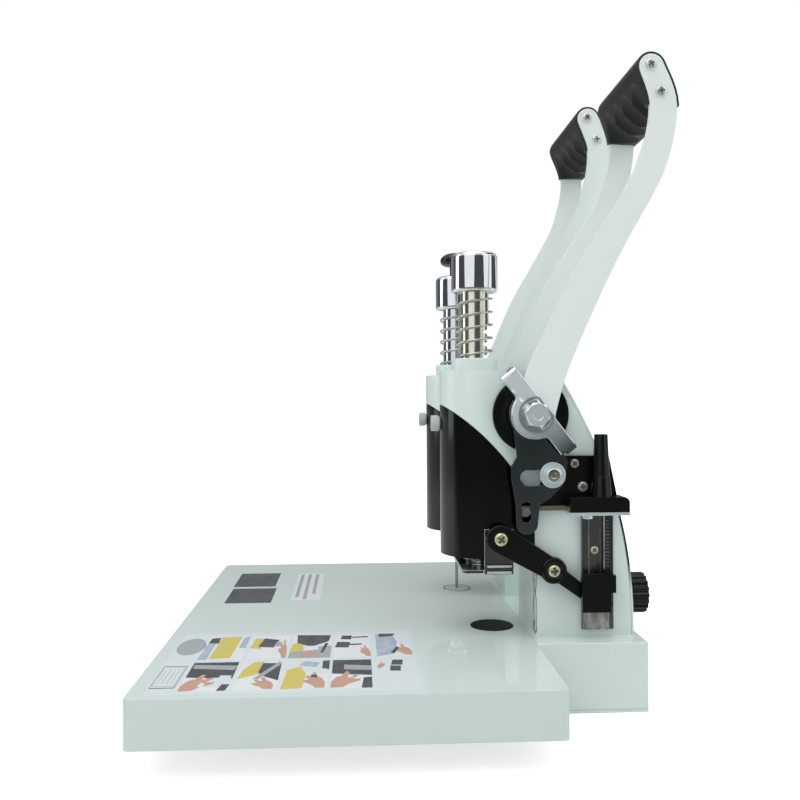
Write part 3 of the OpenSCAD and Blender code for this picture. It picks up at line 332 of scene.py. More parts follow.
def softened(node, radius, material, steps=2, where=None, least=28, rim=None):
    """A copy of a cut, folded or moulded piece with its edges broken, which stands for the sharp one.
    where picks edges by their middle, least is the angle in degrees from which an edge is sharp,
    and rim is another finish for the broken edges alone."""
    source = nodes[node]
    bm = merged(source.data)
    bmesh.ops.dissolve_limit(bm, angle_limit=math.radians(SAME_PLANE), verts=bm.verts, edges=bm.edges)
    sharp = [e for e in bm.edges if len(e.link_faces) == 2 and e.calc_face_angle(0) > math.radians(least)]
    picked = [e for e in sharp if where is None or where((e.verts[0].co + e.verts[1].co) / 2)]
    bmesh.ops.bevel(bm, geom=picked, offset=radius * MM, segments=steps, profile=0.5,
                    affect="EDGES", clamp_overlap=True, material=1 if rim else -1)
    piece = piece_from(node + "_piece", bm)
    weigh = piece.modifiers.new("weigh", "WEIGHTED_NORMAL")
    weigh.keep_sharp = True
    plain(piece)
    return fitted(piece, source["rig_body"], [material, rim] if rim else [material], (node,))


def kept(node, material):
    """A CAD piece that shows as it is, with its finish."""
    mesh = nodes[node].data
    mesh.materials.clear()
    mesh.materials.append(material)


def bar(name, low, high, edge, steps=2):
    """A flat bar between two corners in metres, its edges broken by so many mm."""
    bm = bmesh.new()
    bmesh.ops.create_cube(bm, size=1)
    for v in bm.verts:
        v.co = [h if c > 0 else l for c, l, h in zip(v.co, low, high)]
    bmesh.ops.bevel(bm, geom=bm.edges[:], offset=edge * MM, segments=steps, affect="EDGES")
    return piece_from(name, bm)


table_low, table_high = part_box("table_top")
TABLE_Z = table_high.z
enamel_table = finish("enamel_table", (0.735, 0.83, 0.80), (0.725, 0.82, 0.79), (0.015, 0.035), 9, 500, 0.002)


def outer_fold(mid):
    """Edges on the outside of the table shell, not those of its holes."""
    inset = 0.5 * MM
    side = (mid.x < table_low.x + inset or mid.x > table_high.x - inset
            or mid.y < table_low.y + inset or mid.y > table_high.y - inset)
    return side and mid.z > table_low.z + inset


softened("table_top", 1.8, enamel_table, 4, outer_fold, 12)
FLANGE_DEEP, FLANGE_T = 9.5, 1.2
flange = bar("table_flange", (table_low.x + 2 * MM, table_high.y - 1.0 * MM, TABLE_Z - FLANGE_T * MM),
             (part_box("rear_base")[0].x - 0.3 * MM, table_high.y + FLANGE_DEEP * MM, TABLE_Z - 0.02 * MM), 0.2)
fitted(flange, "frame", [enamel_table])

films = [finish("film_" + name, pale, deep, gloss, cloud, 800, 0.01) for name, pale, deep, gloss, cloud in (
    ("pale", (0.80, 0.86, 0.89), (0.77, 0.84, 0.87), (0.12, 0.2), 25),
    ("white", (0.90, 0.92, 0.93), (0.84, 0.87, 0.89), (0.12, 0.2), 60),
    ("grey", (0.05, 0.055, 0.065), (0.13, 0.135, 0.145), (0.14, 0.24), 110),
    ("silver", (0.46, 0.48, 0.49), (0.41, 0.43, 0.45), (0.2, 0.26), 30),
    ("yellow", (0.80, 0.64, 0.07), (0.68, 0.60, 0.26), (0.12, 0.2), 150),
    ("blue", (0.36, 0.42, 0.58), (0.62, 0.67, 0.74), (0.12, 0.2), 150),
    ("tan", (0.72, 0.41, 0.31), (0.56, 0.36, 0.29), (0.12, 0.2), 150))]
PALE, WHITE, GREY, SILVER, YELLOW, BLUE, TAN = range(7)
FILM_LIFT, LAYER = 0.01 * MM, 0.02 * MM


def prism(bm, low, high):
    """Closes two like rings of corners into a solid; returns its faces, the two ends first."""
    count = len(low)
    return [bm.faces.new(high), bm.faces.new(low[::-1])] + [
        bm.faces.new((low[i], low[(i + 1) % count], high[(i + 1) % count], high[i])) for i in range(count)]


def printed(name, outlines):
    """Printed shapes on the table: outlines holds (points in mm, layer, colour number)."""
    bm = bmesh.new()
    base = TABLE_Z + FILM_LIFT
    for points, layer, index in outlines:
        low, high = ([bm.verts.new((x * MM, y * MM, z)) for x, y in points]
                     for z in (base, base + (layer + 1) * LAYER))
        for face in prism(bm, low, high):
            face.material_index = index
    return fitted(piece_from(name, bm, 20), "frame", films)


def rect(x0, y0, x1, y1):
    """The four corners of an upright rectangle."""
    return [(x0, y0), (x1, y0), (x1, y1), (x0, y1)]


# the sheet of work steps has ten pictures in two rows, each of a few plain shapes: stacks, machine parts, hands;
# places run from 0 to 1, first to the rear and then to the far side
shapes = [(rect(64, -290, 193, -126), 0, PALE)]
columns = ((-271, -242), (-239, -213), (-211, -183), (-181, -156), (-152, -128))
rows = ((71, 126), (132, 187))
pictures = {
    (0, 0): [(BLUE, [(0, 0), (.22, 0), (.24, .8), (.06, .9)]),
             (GREY, [(.05, .7), (.3, .68), (.28, .95), (.08, .92)]),
             (YELLOW, [(.26, .02), (.74, .06), (.8, .98), (.32, .96)]),
             (BLUE, [(.84, .5), (1, .45), (1, 1), (.86, .9)])],
    (1, 0): [(YELLOW, [(0, .45), (.3, .4), (.32, .85), (.06, .9)]),
             (GREY, [(.2, .5), (.62, .46), (.72, .8), (.3, .88)]),
             (SILVER, [(.62, .5), (.8, .52), (.8, .7), (.66, .72)]),
             (TAN, [(.76, .3), (.98, 0), (1, .62), (.8, .84)])],
    (2, 0): [(SILVER, [(0, 0), (1, 0), (1, .5), (0, .4)]),
             (YELLOW, [(0, .22), (.28, .3), (.34, .72), (.04, .6)]),
             (GREY, [(.14, .64), (.5, .46), (.92, .7), (.96, .98), (.1, 1)]),
             (WHITE, [(.3, .3), (.7, .34), (.66, .5), (.36, .5)]),
             (TAN, [(.28, .02), (.68, .04), (.64, .3), (.36, .26)]),
             (GREY, [(.74, .2), (.82, .22), (.92, .6), (.84, .62)])],
    (3, 0): [(GREY, [(.16, .78), (.46, .76), (.48, .94), (.2, .95)]),
             (GREY, [(.02, .42), (.4, .4), (.44, .64), (.08, .66)]),
             (GREY, [(.48, .83), (.94, .85), (.94, .9), (.48, .88)]),
             (GREY, [(.42, .5), (.76, .52), (.76, .57), (.42, .56)]),
             (TAN, [(.7, .36), (.9, .02), (1, .06), (1, .4), (.82, .5)])],
    (4, 0): [(BLUE, [(0, 0), (.5, .1), (.62, .6), (.5, 1), (0, 1)]),
             (PALE, [(.62, .5), (1, .4), (1, 1), (.6, 1)]), (GREY, [(.1, .84), (.5, .88), (.6, 1), (.1, 1)]),
             (TAN, [(.5, .3), (.64, .05), (1, .1), (.98, .46), (.66, .52)]),
             (GREY, [(.4, .16), (.5, .12), (.66, .36), (.58, .4)])],
    (0, 1): [(GREY, [(0, .46), (1, .4), (1, 1), (0, 1)]),
             (SILVER, [(.04, .78), (.96, .7), (1, .86), (.04, .92)]),
             (PALE, [(.56, .1), (.98, .16), (.96, .5), (.62, .52)]),
             (GREY, [(.44, .42), (.72, .44), (.7, .62), (.48, .6)]),
             (TAN, [(0, 0), (.56, .02), (.66, .3), (.56, .56), (.3, .5), (.08, .3)]),
             (WHITE, [(.34, .14), (.46, .12), (.48, .24), (.38, .26)]),
             (GREY, [(.78, 0), (.96, 0), (1, .2), (.84, .2)])],
    (1, 1): [(YELLOW, [(0, .36), (.48, .54), (.52, 1), (.26, .98), (.06, .7)]),
             (GREY, [(.44, .6), (.6, .46), (.98, .3), (.96, .92), (.5, .94)]),
             (SILVER, [(.36, .36), (.5, .34), (.98, .92), (.9, 1), (.5, .52)]),
             (TAN, [(.38, .3), (.5, .02), (.86, .04), (.9, .36), (.62, .42)])],
    (2, 1): [(PALE, [(0, .6), (1, .5), (1, 1), (0, 1)]),
             (YELLOW, [(0, 0), (.46, .02), (.5, .5), (.34, .78), (.06, .66)]),
             (GREY, [(.84, .7), (1, .66), (1, 1), (.84, .98)]),
             (BLUE, [(.3, .82), (.7, .74), (.78, .92), (.4, .98)]),
             (TAN, [(.46, .46), (.5, .02), (.88, .04), (.94, .5), (.7, .56)]),
             (GREY, [(.6, .4), (.76, .36), (.74, .46), (.62, .48)])],
    (3, 1): [(GREY, [(0, .5), (1, .42), (1, 1), (0, 1)]), (SILVER, [(.3, .64), (.98, .6), (1, .76), (.3, .82)]),
             (TAN, [(0, .02), (.7, .02), (.72, .4), (.44, .58), (.12, .46)]),
             (WHITE, [(.4, .34), (.54, .36), (.52, .42), (.42, .42)]),
             (GREY, [(.74, 0), (1, 0), (1, .36), (.8, .34)])],
    (4, 1): [(TAN, [(0, .66), (.2, .7), (.22, .86), (.02, .9)]),
             (GREY, [(.32, .56), (.6, .55), (.62, .74), (.34, .75)]),
             (GREY, [(.36, .78), (.66, .77), (.7, .96), (.42, .97)])]}
HAND = [(0, 0), (.4, .02), (.62, .22), (.98, .4), (1, .5), (.72, .5), (.93, .7), (.86, .8), (.56, .64),
        (.62, .94), (.5, 1), (.34, .7), (.16, .62), (0, .34)]
for (c, r), drawn in pictures.items():
    y0, y1 = columns[c]
    x0, x1 = rows[r]
    shapes.append((rect(x0, y0, x1, y1), 1, PALE if (c, r) == (4, 1) else WHITE))
    for layer, (colour, points) in enumerate(drawn):
        if colour == TAN:       # a hand that fills the shape's box, fingers towards the picture's middle
            (u0, v0), (u1, v1) = (min(q) for q in zip(*points)), (max(q) for q in zip(*points))
            points = [(u0 + (u1 - u0) * (1 - h if u0 > 0.3 else h), v0 + (v1 - v0) * g) for h, g in HAND]
        shapes.append(([(x1 - v * (x1 - x0), y0 + u * (y1 - y0)) for u, v in points], 2 + layer, colour))
printed("work_steps", shapes)

OVAL, OVAL_SIDES = (95, -280, 20, 9.5), 48
oval = [(OVAL[0] + OVAL[2] * math.cos(a), OVAL[1] + OVAL[3] * math.sin(a))
        for a in (2 * math.pi * i / OVAL_SIDES for i in range(OVAL_SIDES))]
printed("plain_panels", [
    (rect(-154, -278, -94, -240), 0, GREY), (rect(-87, -277, -31, -238), 0, GREY),
    (rect(-150, -222, -38, -197), 0, WHITE), (rect(-146, -219, -50, -216), 1, SILVER),
    (rect(-146, -212, -42, -209), 1, SILVER), (rect(-146, -205, -62, -202), 1, SILVER),
    (rect(138, -289, 181, -274), 1, GREY), (rect(139.2, -288.6, 179.8, -274.4), 2, PALE),
    (rect(141, -288, 178, -275), 3, SILVER), (rect(142, -287.7, 177, -275.3), 4, PALE),
    (rect(146, -286.2, 173, -285.8), 5, SILVER), (rect(146, -283.4, 173, -283.0), 5, SILVER),
    (rect(146, -280.6, 173, -280.2), 5, SILVER), (rect(146, -277.8, 173, -277.4), 5, SILVER),
    (oval, 1, SILVER)])


# ---- The rear base: a folded steel box on a bottom plate, enamelled like the table.
# Two channel legs with rubber feet hold up the front of the table, out of sight behind the skirt.
ENAMEL = ((0.80, 0.91, 0.875), (0.79, 0.90, 0.865), (0.28, 0.31), 16, 350, 0.01)
enamel_white = finish("enamel_white", *ENAMEL, coat=0.1)
steel_plain = finish("steel_plain", (0.50, 0.51, 0.52), (0.40, 0.41, 0.42), (0.32, 0.46), 60, 1500, 0.05,
                     metal=1.0)
rubber_black = finish("rubber_black", (0.016, 0.016, 0.017), (0.024, 0.024, 0.025), (0.62, 0.78), 90, 2200, 0.3)
softened("rear_base", 1.0, enamel_white, 3)
softened("chassis", 0.3, enamel_white)
softened("rubber_feet", 1.2, rubber_black, 3)


# ---- The two columns: folded sheet that carries each head, with the upper half of the head in one piece.
# The paint is chipped to the bare steel along the front corner of the near column. A bent sheet closes each
# column at the back, and a dark line of painted shade runs down the side faces of that sheet along its seam.
enamel_column = finish("enamel_column", *ENAMEL, coat=0.1)


COLUMN_Y = -37 * MM
CHIPS_HIGH = 52 * MM
CHIPS_PER_METRE, DRAWN_OUT = 240, (1, 1, 0.22)
PRIMER, BARE = (0.018, 0.02, 0.022), (0.62, 0.64, 0.66)


def add_chips(material, edge_x, edge_y, z_low, z_high):
    """Breaks the paint along one upright corner: bare steel inside a dark ragged border. The chips fade out
    over a few mm along the two walls, and at the foot and the top."""
    tree, place, at = place_in(material)
    near = times(tree, ramp(tree, at["X"], edge_x - 16 * MM, edge_x - 3 * MM),
                 ramp(tree, at["Y"], edge_y + 2.2 * MM, edge_y + 0.4 * MM))
    tall = times(tree, ramp(tree, at["Z"], z_low - 1 * MM, z_low + 5 * MM),
                 ramp(tree, at["Z"], z_high, z_high - 8 * MM))
    upright = tree.nodes.new("ShaderNodeVectorMath")
    upright.operation = "MULTIPLY"
    upright.inputs[1].default_value = DRAWN_OUT
    tree.links.new(place, upright.inputs[0])
    flakes = grain(tree, upright.outputs["Vector"], CHIPS_PER_METRE, 0.0, 1.3, 4.0)
    ragged = times(tree, times(tree, near, tall), flakes)
    tint(material, ramp(tree, ragged, 0.36, 0.42), PRIMER)
    tint(material, ramp(tree, ragged, 0.54, 0.60), BARE)


add_chips(enamel_column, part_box("drill_frame")[1].x, COLUMN_Y, TABLE_Z, TABLE_Z + CHIPS_HIGH)
enamel_painted_seam_shade = finish("enamel_painted_seam_shade", *ENAMEL)
# painted shade: the rear covers' side faces darken from 32 to 52 mm above the table and fade out again by 108 mm,
# as a shadow line in the seam
SEAM_SHADE = (0.035, 0.037, 0.038)
seam_starts, seam_full, seam_thins, seam_ends = (TABLE_Z + h * MM for h in (32, 52, 88, 108))
tree, _, at = place_in(enamel_painted_seam_shade)
tint(enamel_painted_seam_shade, times(tree, ramp(tree, at["Z"], seam_starts, seam_full),
                       ramp(tree, at["Z"], seam_ends, seam_thins)), SEAM_SHADE)
SIDES = ("drill", "rivet")
for side, coat_of in zip(SIDES, (enamel_column, enamel_white)):
    softened(side + "_frame", 0.7, coat_of, 3)
    sheet = softened(side + "_rear_cover", 0.7, enamel_white, 1)
    sheet.data.materials.append(enamel_painted_seam_shade)
    # faces that look aside and not backwards take the painted seam shade
    for face in sheet.data.polygons:
        looks_aside, looks_back = abs(face.normal.x) > 0.3, face.normal.y >= 0.3
        if looks_aside and not looks_back:
            face.material_index = 1


# ---- The dark covers: half-round sheet round each tool, satin black, held by one hand screw at the nose.
# The hand screws are turned from pale plastic with a knurled rim. An enamelled collar on each roof guides
# the ram.
cover_black = finish("cover_black", (0.0012, 0.0012, 0.0014), (0.002, 0.002, 0.0023), (0.09, 0.13), 40, 1400, 0.012,
                     stretch=(1, 1, 0.25))
screw_pale = finish("screw_pale", (0.66, 0.69, 0.66), (0.58, 0.61, 0.59), (0.3, 0.42), 120, 1500, 0.06)
for side in SIDES:
    softened(side + "_cover", 0.4, cover_black)
    softened(side + "_hand_screw", 0.25, screw_pale)
    softened(side + "_collar", 0.8, enamel_white, 3)


# ---- The rams: ground bars that slide in the collars, yellow plated on the drill side and bright on the other.
# Each has a polished cap pushed on top, and a wire spring between cap and collar lifts it again.
plate_yellow = finish("plate_yellow", (0.86, 0.84, 0.68), (0.78, 0.79, 0.70), (0.15, 0.22), 60, 900, 0.008,
                      metal=1.0, stretch=(1, 1, 0.2))
steel_ground = finish("steel_ground", (0.80, 0.82, 0.84), (0.68, 0.70, 0.72), (0.09, 0.15), 60, 900, 0.008,
                      metal=1.0, stretch=(1, 1, 0.2))
chrome = finish("chrome", (0.88, 0.90, 0.92), (0.82, 0.84, 0.86), (0.06, 0.10), 40, 400, 0.004, metal=1.0)
wire_bright = finish("wire_bright", (0.70, 0.71, 0.68), (0.54, 0.55, 0.53), (0.14, 0.22), 200, 1500, 0.01,
                     metal=1.0)
kept("drill_ram", plate_yellow)
kept("rivet_ram", steel_ground)


def joined(bm, a, b, count):
    """Faces between two rings of corners; a ring of one point closes to a tip."""
    for i in range(count):
        j = (i + 1) % count
        corners = list(dict.fromkeys((a[i % len(a)], a[j % len(a)], b[j % len(b)], b[i % len(b)])))
        if len(corners) > 2:
            bm.faces.new(corners)


def turned(name, profile, place, axis="Z", count=72):
    """A lathe-turned piece on an axis along Z or X: profile holds (radius, height) in mm round the section,
    place is in metres."""
    turn = Matrix.Rotation(math.pi / 2, 3, "Y") if axis == "X" else Matrix.Identity(3)
    bm = bmesh.new()
    rings = []
    for radius, height in profile:
        spots = [(0.0, 0.0)] if radius == 0 else [
            (radius * math.cos(2 * math.pi * i / count), radius * math.sin(2 * math.pi * i / count))
            for i in range(count)]
        rings.append([bm.verts.new(turn @ (Vector((x, y, height)) * MM) + Vector(place)) for x, y in spots])
    closed = profile[0][0] != 0
    for a, b in list(zip(rings, rings[1:])) + ([(rings[-1], rings[0])] if closed else []):
        joined(bm, a, b, count)
    return piece_from(name, bm, 50)


def rounded(radius, height, r_top, r_low, bore, steps=6):
    """Outer section of a cap in mm, from its bore round both rims to the top."""
    section = [(bore, 0), (radius - r_low, 0)]
    section += [(radius - r_low + r_low * math.sin(a), r_low - r_low * math.cos(a))
                for a in (math.pi / 2 * i / steps for i in range(1, steps + 1))]
    section += [(radius - r_top + r_top * math.cos(a), height - r_top + r_top * math.sin(a))
                for a in (math.pi / 2 * i / steps for i in range(steps + 1))]
    return section


CAP_TOP_R, CAP_LOW_R, CAP_BORE, STEM_BORE = 4.0, 2.4, 10.8, 4.2
for side in SIDES:
    low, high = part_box(side + "_cap")
    tall = (high.z - low.z) / MM
    ram_high = (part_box(side + "_ram")[1].z - low.z) / MM
    stem = STEM_BORE if side == "rivet" else 0
    section = [(stem, ram_high), (CAP_BORE, ram_high)]
    section += rounded((high.x - low.x) / MM / 2, tall, CAP_TOP_R, CAP_LOW_R, CAP_BORE) + [(stem, tall)]
    cap = turned(side + "_cap_piece", section, ((low.x + high.x) / 2, (low.y + high.y) / 2, low.z))
    fitted(cap, nodes[side + "_cap"]["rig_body"], [chrome], (side + "_cap",))


def tree_with(name, inputs):
    """An empty Geometry Nodes tree with named inputs; returns the tree, its two ends and the identifiers."""
    tree = bpy.data.node_groups.new(name, "GeometryNodeTree")
    tree.interface.new_socket("Geometry", in_out="INPUT", socket_type="NodeSocketGeometry")
    known = {label: tree.interface.new_socket(label, in_out="INPUT", socket_type=kind).identifier
             for label, kind in inputs}
    tree.interface.new_socket("Geometry", in_out="OUTPUT", socket_type="NodeSocketGeometry")
    return tree, tree.nodes.new("NodeGroupInput"), tree.nodes.new("NodeGroupOutput"), known


def ended(tree, enter, leave, geometry):
    """Closes a tree: real geometry, with the material that its input names."""
    real = tree.nodes.new("GeometryNodeRealizeInstances")
    paint = tree.nodes.new("GeometryNodeSetMaterial")
    tree.links.new(geometry, real.inputs["Geometry"])
    tree.links.new(real.outputs["Geometry"], paint.inputs["Geometry"])
    tree.links.new(enter.outputs["Material"], paint.inputs["Material"])
    tree.links.new(paint.outputs["Geometry"], leave.inputs["Geometry"])


def grown(name, tree, known, values, points=((0, 0, 0),), turns=None):
    """A piece that a tree makes on some points, turned into a plain mesh."""
    mesh = bpy.data.meshes.new(name)
    mesh.from_pydata([tuple(p) for p in points], [], [])
    if turns:
        held = mesh.attributes.new("turn", "FLOAT_VECTOR", "POINT")
        for i, t in enumerate(turns):
            held.data[i].vector = t
    piece = bpy.data.objects.new(name, mesh)
    scene.collection.objects.link(piece)
    maker = piece.modifiers.new("maker", "NODES")
    maker.node_group = tree
    for label, value in values.items():
        maker[known[label]] = value
    plain(piece)
    return piece


SPRING, spring_in, spring_out, SPRING_KNOWN = tree_with("wire spring", (
    ("Radius", "NodeSocketFloat"), ("Wire", "NodeSocketFloat"), ("Turns", "NodeSocketFloat"),
    ("Height", "NodeSocketFloat"), ("Place", "NodeSocketVector"), ("Material", "NodeSocketMaterial")))
helix = SPRING.nodes.new("GeometryNodeCurveSpiral")
helix.inputs["Resolution"].default_value = 40
helix.inputs["Reverse"].default_value = True
circle = SPRING.nodes.new("GeometryNodeCurvePrimitiveCircle")
circle.inputs["Resolution"].default_value = 10
tube = SPRING.nodes.new("GeometryNodeCurveToMesh")
tube.inputs["Fill Caps"].default_value = True
carry = SPRING.nodes.new("GeometryNodeTransform")
for label, socket in (("Radius", "Start Radius"), ("Radius", "End Radius"), ("Turns", "Rotations"),
                      ("Height", "Height")):
    SPRING.links.new(spring_in.outputs[label], helix.inputs[socket])
SPRING.links.new(spring_in.outputs["Wire"], circle.inputs["Radius"])
SPRING.links.new(helix.outputs["Curve"], tube.inputs["Curve"])
SPRING.links.new(circle.outputs["Curve"], tube.inputs["Profile Curve"])
SPRING.links.new(tube.outputs["Mesh"], carry.inputs["Geometry"])
SPRING.links.new(spring_in.outputs["Place"], carry.inputs["Translation"])
ended(SPRING, spring_in, spring_out, carry.outputs["Geometry"])


def spring(name, x, y, z0, z1, outside, wire, turns, body, node, material):
    """One wire spring between two seats."""
    piece = grown(name, SPRING, SPRING_KNOWN, {
        "Radius": (outside - wire) / 2, "Wire": wire / 2, "Turns": turns, "Height": z1 - z0 - wire,
        "Place": (x, y, z0 + wire / 2), "Material": material})
    for face in piece.data.polygons:
        face.use_smooth = True
    return fitted(piece, body, [], (node,))


SPRING_D, SPRING_WIRE, SPRING_TURNS = 28 * MM, 1.6 * MM, 5.6
for side in SIDES:
    low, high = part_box(side + "_cap")
    x, y = (low.x + high.x) / 2, (low.y + high.y) / 2
    low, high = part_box(side + "_spring")
    coil = spring(side + "_return_spring", x, y, low.z, high.z, SPRING_D, SPRING_WIRE, SPRING_TURNS, "frame",
                  side + "_spring", wire_bright)
    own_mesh(coil)


# ---- The ejector: a black moulded mushroom on a stem that passes down through the rivet ram.
# A light push on it knocks a stuck rivet out of the upper die.
plastic_black = finish("plastic_black", (0.002, 0.002, 0.0023), (0.004, 0.004, 0.0044), (0.20, 0.28), 70, 1600,
                       0.02, shine=0.45)
softened("ejector_knob", 0.4, plastic_black, 2, least=50)


# ---- The handles: two flat steel arms each, cut from plate and enamelled, on the square ends of a shaft.
# A black moulded grip with finger grooves joins the arms at the top, held by cross-head screws.
# the arms' enamel is the white enamel painted paler, standing in for the light that falls on the arms
arm_enamel_painted_lighter = finish("arm_enamel_painted_lighter", (0.89, 0.965, 0.94), (0.88, 0.955, 0.93), (0.27, 0.30), 14, 350, 0.01, coat=0.1)
grip_black = finish("grip_black", (0.014, 0.014, 0.015), (0.02, 0.02, 0.021), (0.36, 0.44), 80, 1300, 0.04)
screw_nickel = finish("screw_nickel", (0.86, 0.87, 0.84), (0.70, 0.71, 0.68), (0.12, 0.22), 200, 1500, 0.01,
                      metal=0.6)
# a dark finish for the inside of the cross slots: painted shade in the recesses
recess_painted_shade = finish("recess_painted_shade", (0.13, 0.125, 0.10), (0.22, 0.21, 0.16), (0.4, 0.5), 300, 1500, 0.02)
GRIP_SCREW_D, GRIP_SCREW_RISE = 8.0, 2.0
PLUG_R, PLUG_INSIDE, PLUG_OFF = 2.2 * MM, 6 * MM, (1.0 * MM, 0.6 * MM)
GRIP_CELL, GRIP_ROUNDS = 0.7, 7


def moulded(node, cell, rounds, material, plugs=()):
    """A copy of a moulding with every edge flowing into the next, as it leaves the mould.
    cell is the size of its skin's cells in mm, rounds how often they are smoothed, and plugs are bores to fill,
    as start and end in X, then Y and Z."""
    source = nodes[node]
    bm = merged(source.data)
    for x0, x1, y, z in plugs:
        plug = Matrix.Translation(((x0 + x1) / 2, y, z)) @ Matrix.Rotation(math.pi / 2, 4, "Y")
        bmesh.ops.create_cone(bm, cap_ends=True, segments=24, radius1=PLUG_R, radius2=PLUG_R, depth=x1 - x0,
                              matrix=plug)
    piece = piece_from(node + "_piece", bm)
    skin = piece.modifiers.new("skin", "REMESH")
    skin.mode = "VOXEL"
    skin.voxel_size = cell * MM
    flow = piece.modifiers.new("flow", "SMOOTH")
    flow.factor = 0.5
    flow.iterations = rounds
    plain(piece)
    for face in piece.data.polygons:
        face.use_smooth = True
    return fitted(piece, source["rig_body"], [material], (node,))


def grip_points(side):
    """Middles of the screw seats of one handle, read from the CAD heads: near ones, then far ones."""
    mesh = nodes[side + "_grip_screws"].data
    low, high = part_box(side + "_grip_screws")
    found = []
    rise = GRIP_SCREW_RISE * MM
    for end, seat in ((high.x, high.x - rise), (low.x, low.x + rise)):
        rim = [v.co for v in mesh.vertices if abs(v.co.x - end) < 0.1 * MM]
        middle = (max(p.z for p in rim) + min(p.z for p in rim)) / 2
        for group in ([p for p in rim if p.z > middle], [p for p in rim if p.z <= middle]):
            found.append((seat, (min(p.y for p in group) + max(p.y for p in group)) / 2,
                          (min(p.z for p in group) + max(p.z for p in group)) / 2))
    return found[:2], found[2:]


for side in SIDES:
    softened(side + "_arms", 0.7, arm_enamel_painted_lighter, 3)
    near_points, far_points = grip_points(side)
    # the moulding's screw bores are filled from just inside the arms, a little off the heads' middles
    moulded(side + "_grip", GRIP_CELL, GRIP_ROUNDS, grip_black, [
        (far[0] + PLUG_INSIDE, near[0] - PLUG_INSIDE, near[1] + PLUG_OFF[0], near[2] + PLUG_OFF[1])
        for near, far in zip(near_points, far_points)])
    kept(side + "_shaft", steel_plain)

HEADS, heads_in, heads_out, HEADS_KNOWN = tree_with("cross-head screws", (
    ("Diameter", "NodeSocketFloat"), ("Rise", "NodeSocketFloat"), ("Slot", "NodeSocketFloat"),
    ("Material", "NodeSocketMaterial")))


def vector_of(tree, **parts):
    """A vector from sockets or numbers for X, Y and Z."""
    node = tree.nodes.new("ShaderNodeCombineXYZ")
    for axis, value in parts.items():
        feed(tree, value, node.inputs[axis])
    return node.outputs[0]


# a ball pressed flat, cut off below and above, with two crossed slots
wide, rise, slot_wide = (heads_in.outputs[name] for name in ("Diameter", "Rise", "Slot"))
dome = HEADS.nodes.new("GeometryNodeMeshUVSphere")
dome.inputs["Segments"].default_value = 32
dome.inputs["Rings"].default_value = 20
HEADS.links.new(times(HEADS, wide, 0.5), dome.inputs["Radius"])
press = HEADS.nodes.new("GeometryNodeTransform")
flatter = worked(HEADS, "DIVIDE", times(HEADS, rise, 2.5), wide)
HEADS.links.new(dome.outputs["Mesh"], press.inputs["Geometry"])
HEADS.links.new(vector_of(HEADS, X=1.0, Y=1.0, Z=flatter), press.inputs["Scale"])
HEADS.links.new(vector_of(HEADS, Z=times(HEADS, rise, 0.2)), press.inputs["Translation"])
head = press.outputs["Geometry"]
slot_long, slab_wide, slab_high = times(HEADS, wide, 0.58), times(HEADS, wide, 2), times(HEADS, rise, 2)
slab = vector_of(HEADS, X=slab_wide, Y=slab_wide, Z=slab_high)
for size, lift in ((slab, -1.0), (slab, 2.0), (vector_of(HEADS, X=slot_long, Y=slot_wide, Z=rise), 0.80),
                   (vector_of(HEADS, X=slot_wide, Y=slot_long, Z=rise), 0.76)):
    cutter = HEADS.nodes.new("GeometryNodeMeshCube")
    shift = HEADS.nodes.new("GeometryNodeTransform")
    HEADS.links.new(size, cutter.inputs["Size"])
    HEADS.links.new(cutter.outputs["Mesh"], shift.inputs["Geometry"])
    HEADS.links.new(vector_of(HEADS, Z=times(HEADS, rise, lift)), shift.inputs["Translation"])
    cut = HEADS.nodes.new("GeometryNodeMeshBoolean")
    cut.operation = "DIFFERENCE"
    HEADS.links.new(head, cut.inputs["Mesh 1"])
    HEADS.links.new(shift.outputs["Geometry"], cut.inputs["Mesh 2"])
    head = cut.outputs["Mesh"]
onto = HEADS.nodes.new("GeometryNodeInstanceOnPoints")
aim = HEADS.nodes.new("GeometryNodeInputNamedAttribute")
aim.data_type = "FLOAT_VECTOR"
aim.inputs["Name"].default_value = "turn"
HEADS.links.new(heads_in.outputs["Geometry"], onto.inputs["Points"])
HEADS.links.new(head, onto.inputs["Instance"])
HEADS.links.new(aim.outputs["Attribute"], onto.inputs["Rotation"])
ended(HEADS, heads_in, heads_out, onto.outputs["Instances"])
CROSS_TURN, CROSS_STEP = 37, 61     # in degrees


def screws(name, points, side, diameter, rise_mm, body, material, stands_for=(), slot_mm=0.8,
           first=CROSS_TURN):
    """Cross-head screws on an upright face that looks along X: side is 1 or -1, each cross turned a little,
    the first one by first degrees."""
    turns = [tuple((Matrix.Rotation(math.radians(first + CROSS_STEP * i), 3, "X")
                    @ Matrix.Rotation(side * math.pi / 2, 3, "Y")).to_euler()) for i in range(len(points))]
    piece = grown(name, HEADS, HEADS_KNOWN, {"Diameter": diameter * MM, "Rise": rise_mm * MM, "Slot": slot_mm * MM,
                                             "Material": material}, points, turns)
    bm = merged(piece.data)
    shaded(bm, 40)
    # faces deep inside each cross slot take the dark finish, as painted shade
    for f in bm.faces:
        middle = f.calc_center_median()
        away, high = min(((middle.yz - Vector(q[1:])).length, abs(middle.x - q[0])) for q in points)
        below_rim = 0.1 * rise_mm * MM < high < 0.97 * rise_mm * MM
        f.material_index = 1 if away < 0.3 * diameter * MM and below_rim else 0
    piece.data.materials.clear()
    bm.to_mesh(piece.data)
    bm.free()
    return fitted(piece, body, [material, recess_painted_shade], stands_for)


for side in SIDES:
    for end, way, points in zip(("near", "far"), (1, -1), grip_points(side)):
        screws(side + "_grip_screws_" + end, points, way, GRIP_SCREW_D, GRIP_SCREW_RISE, side + "_handle",
               screw_nickel, (side + "_grip_screws",))


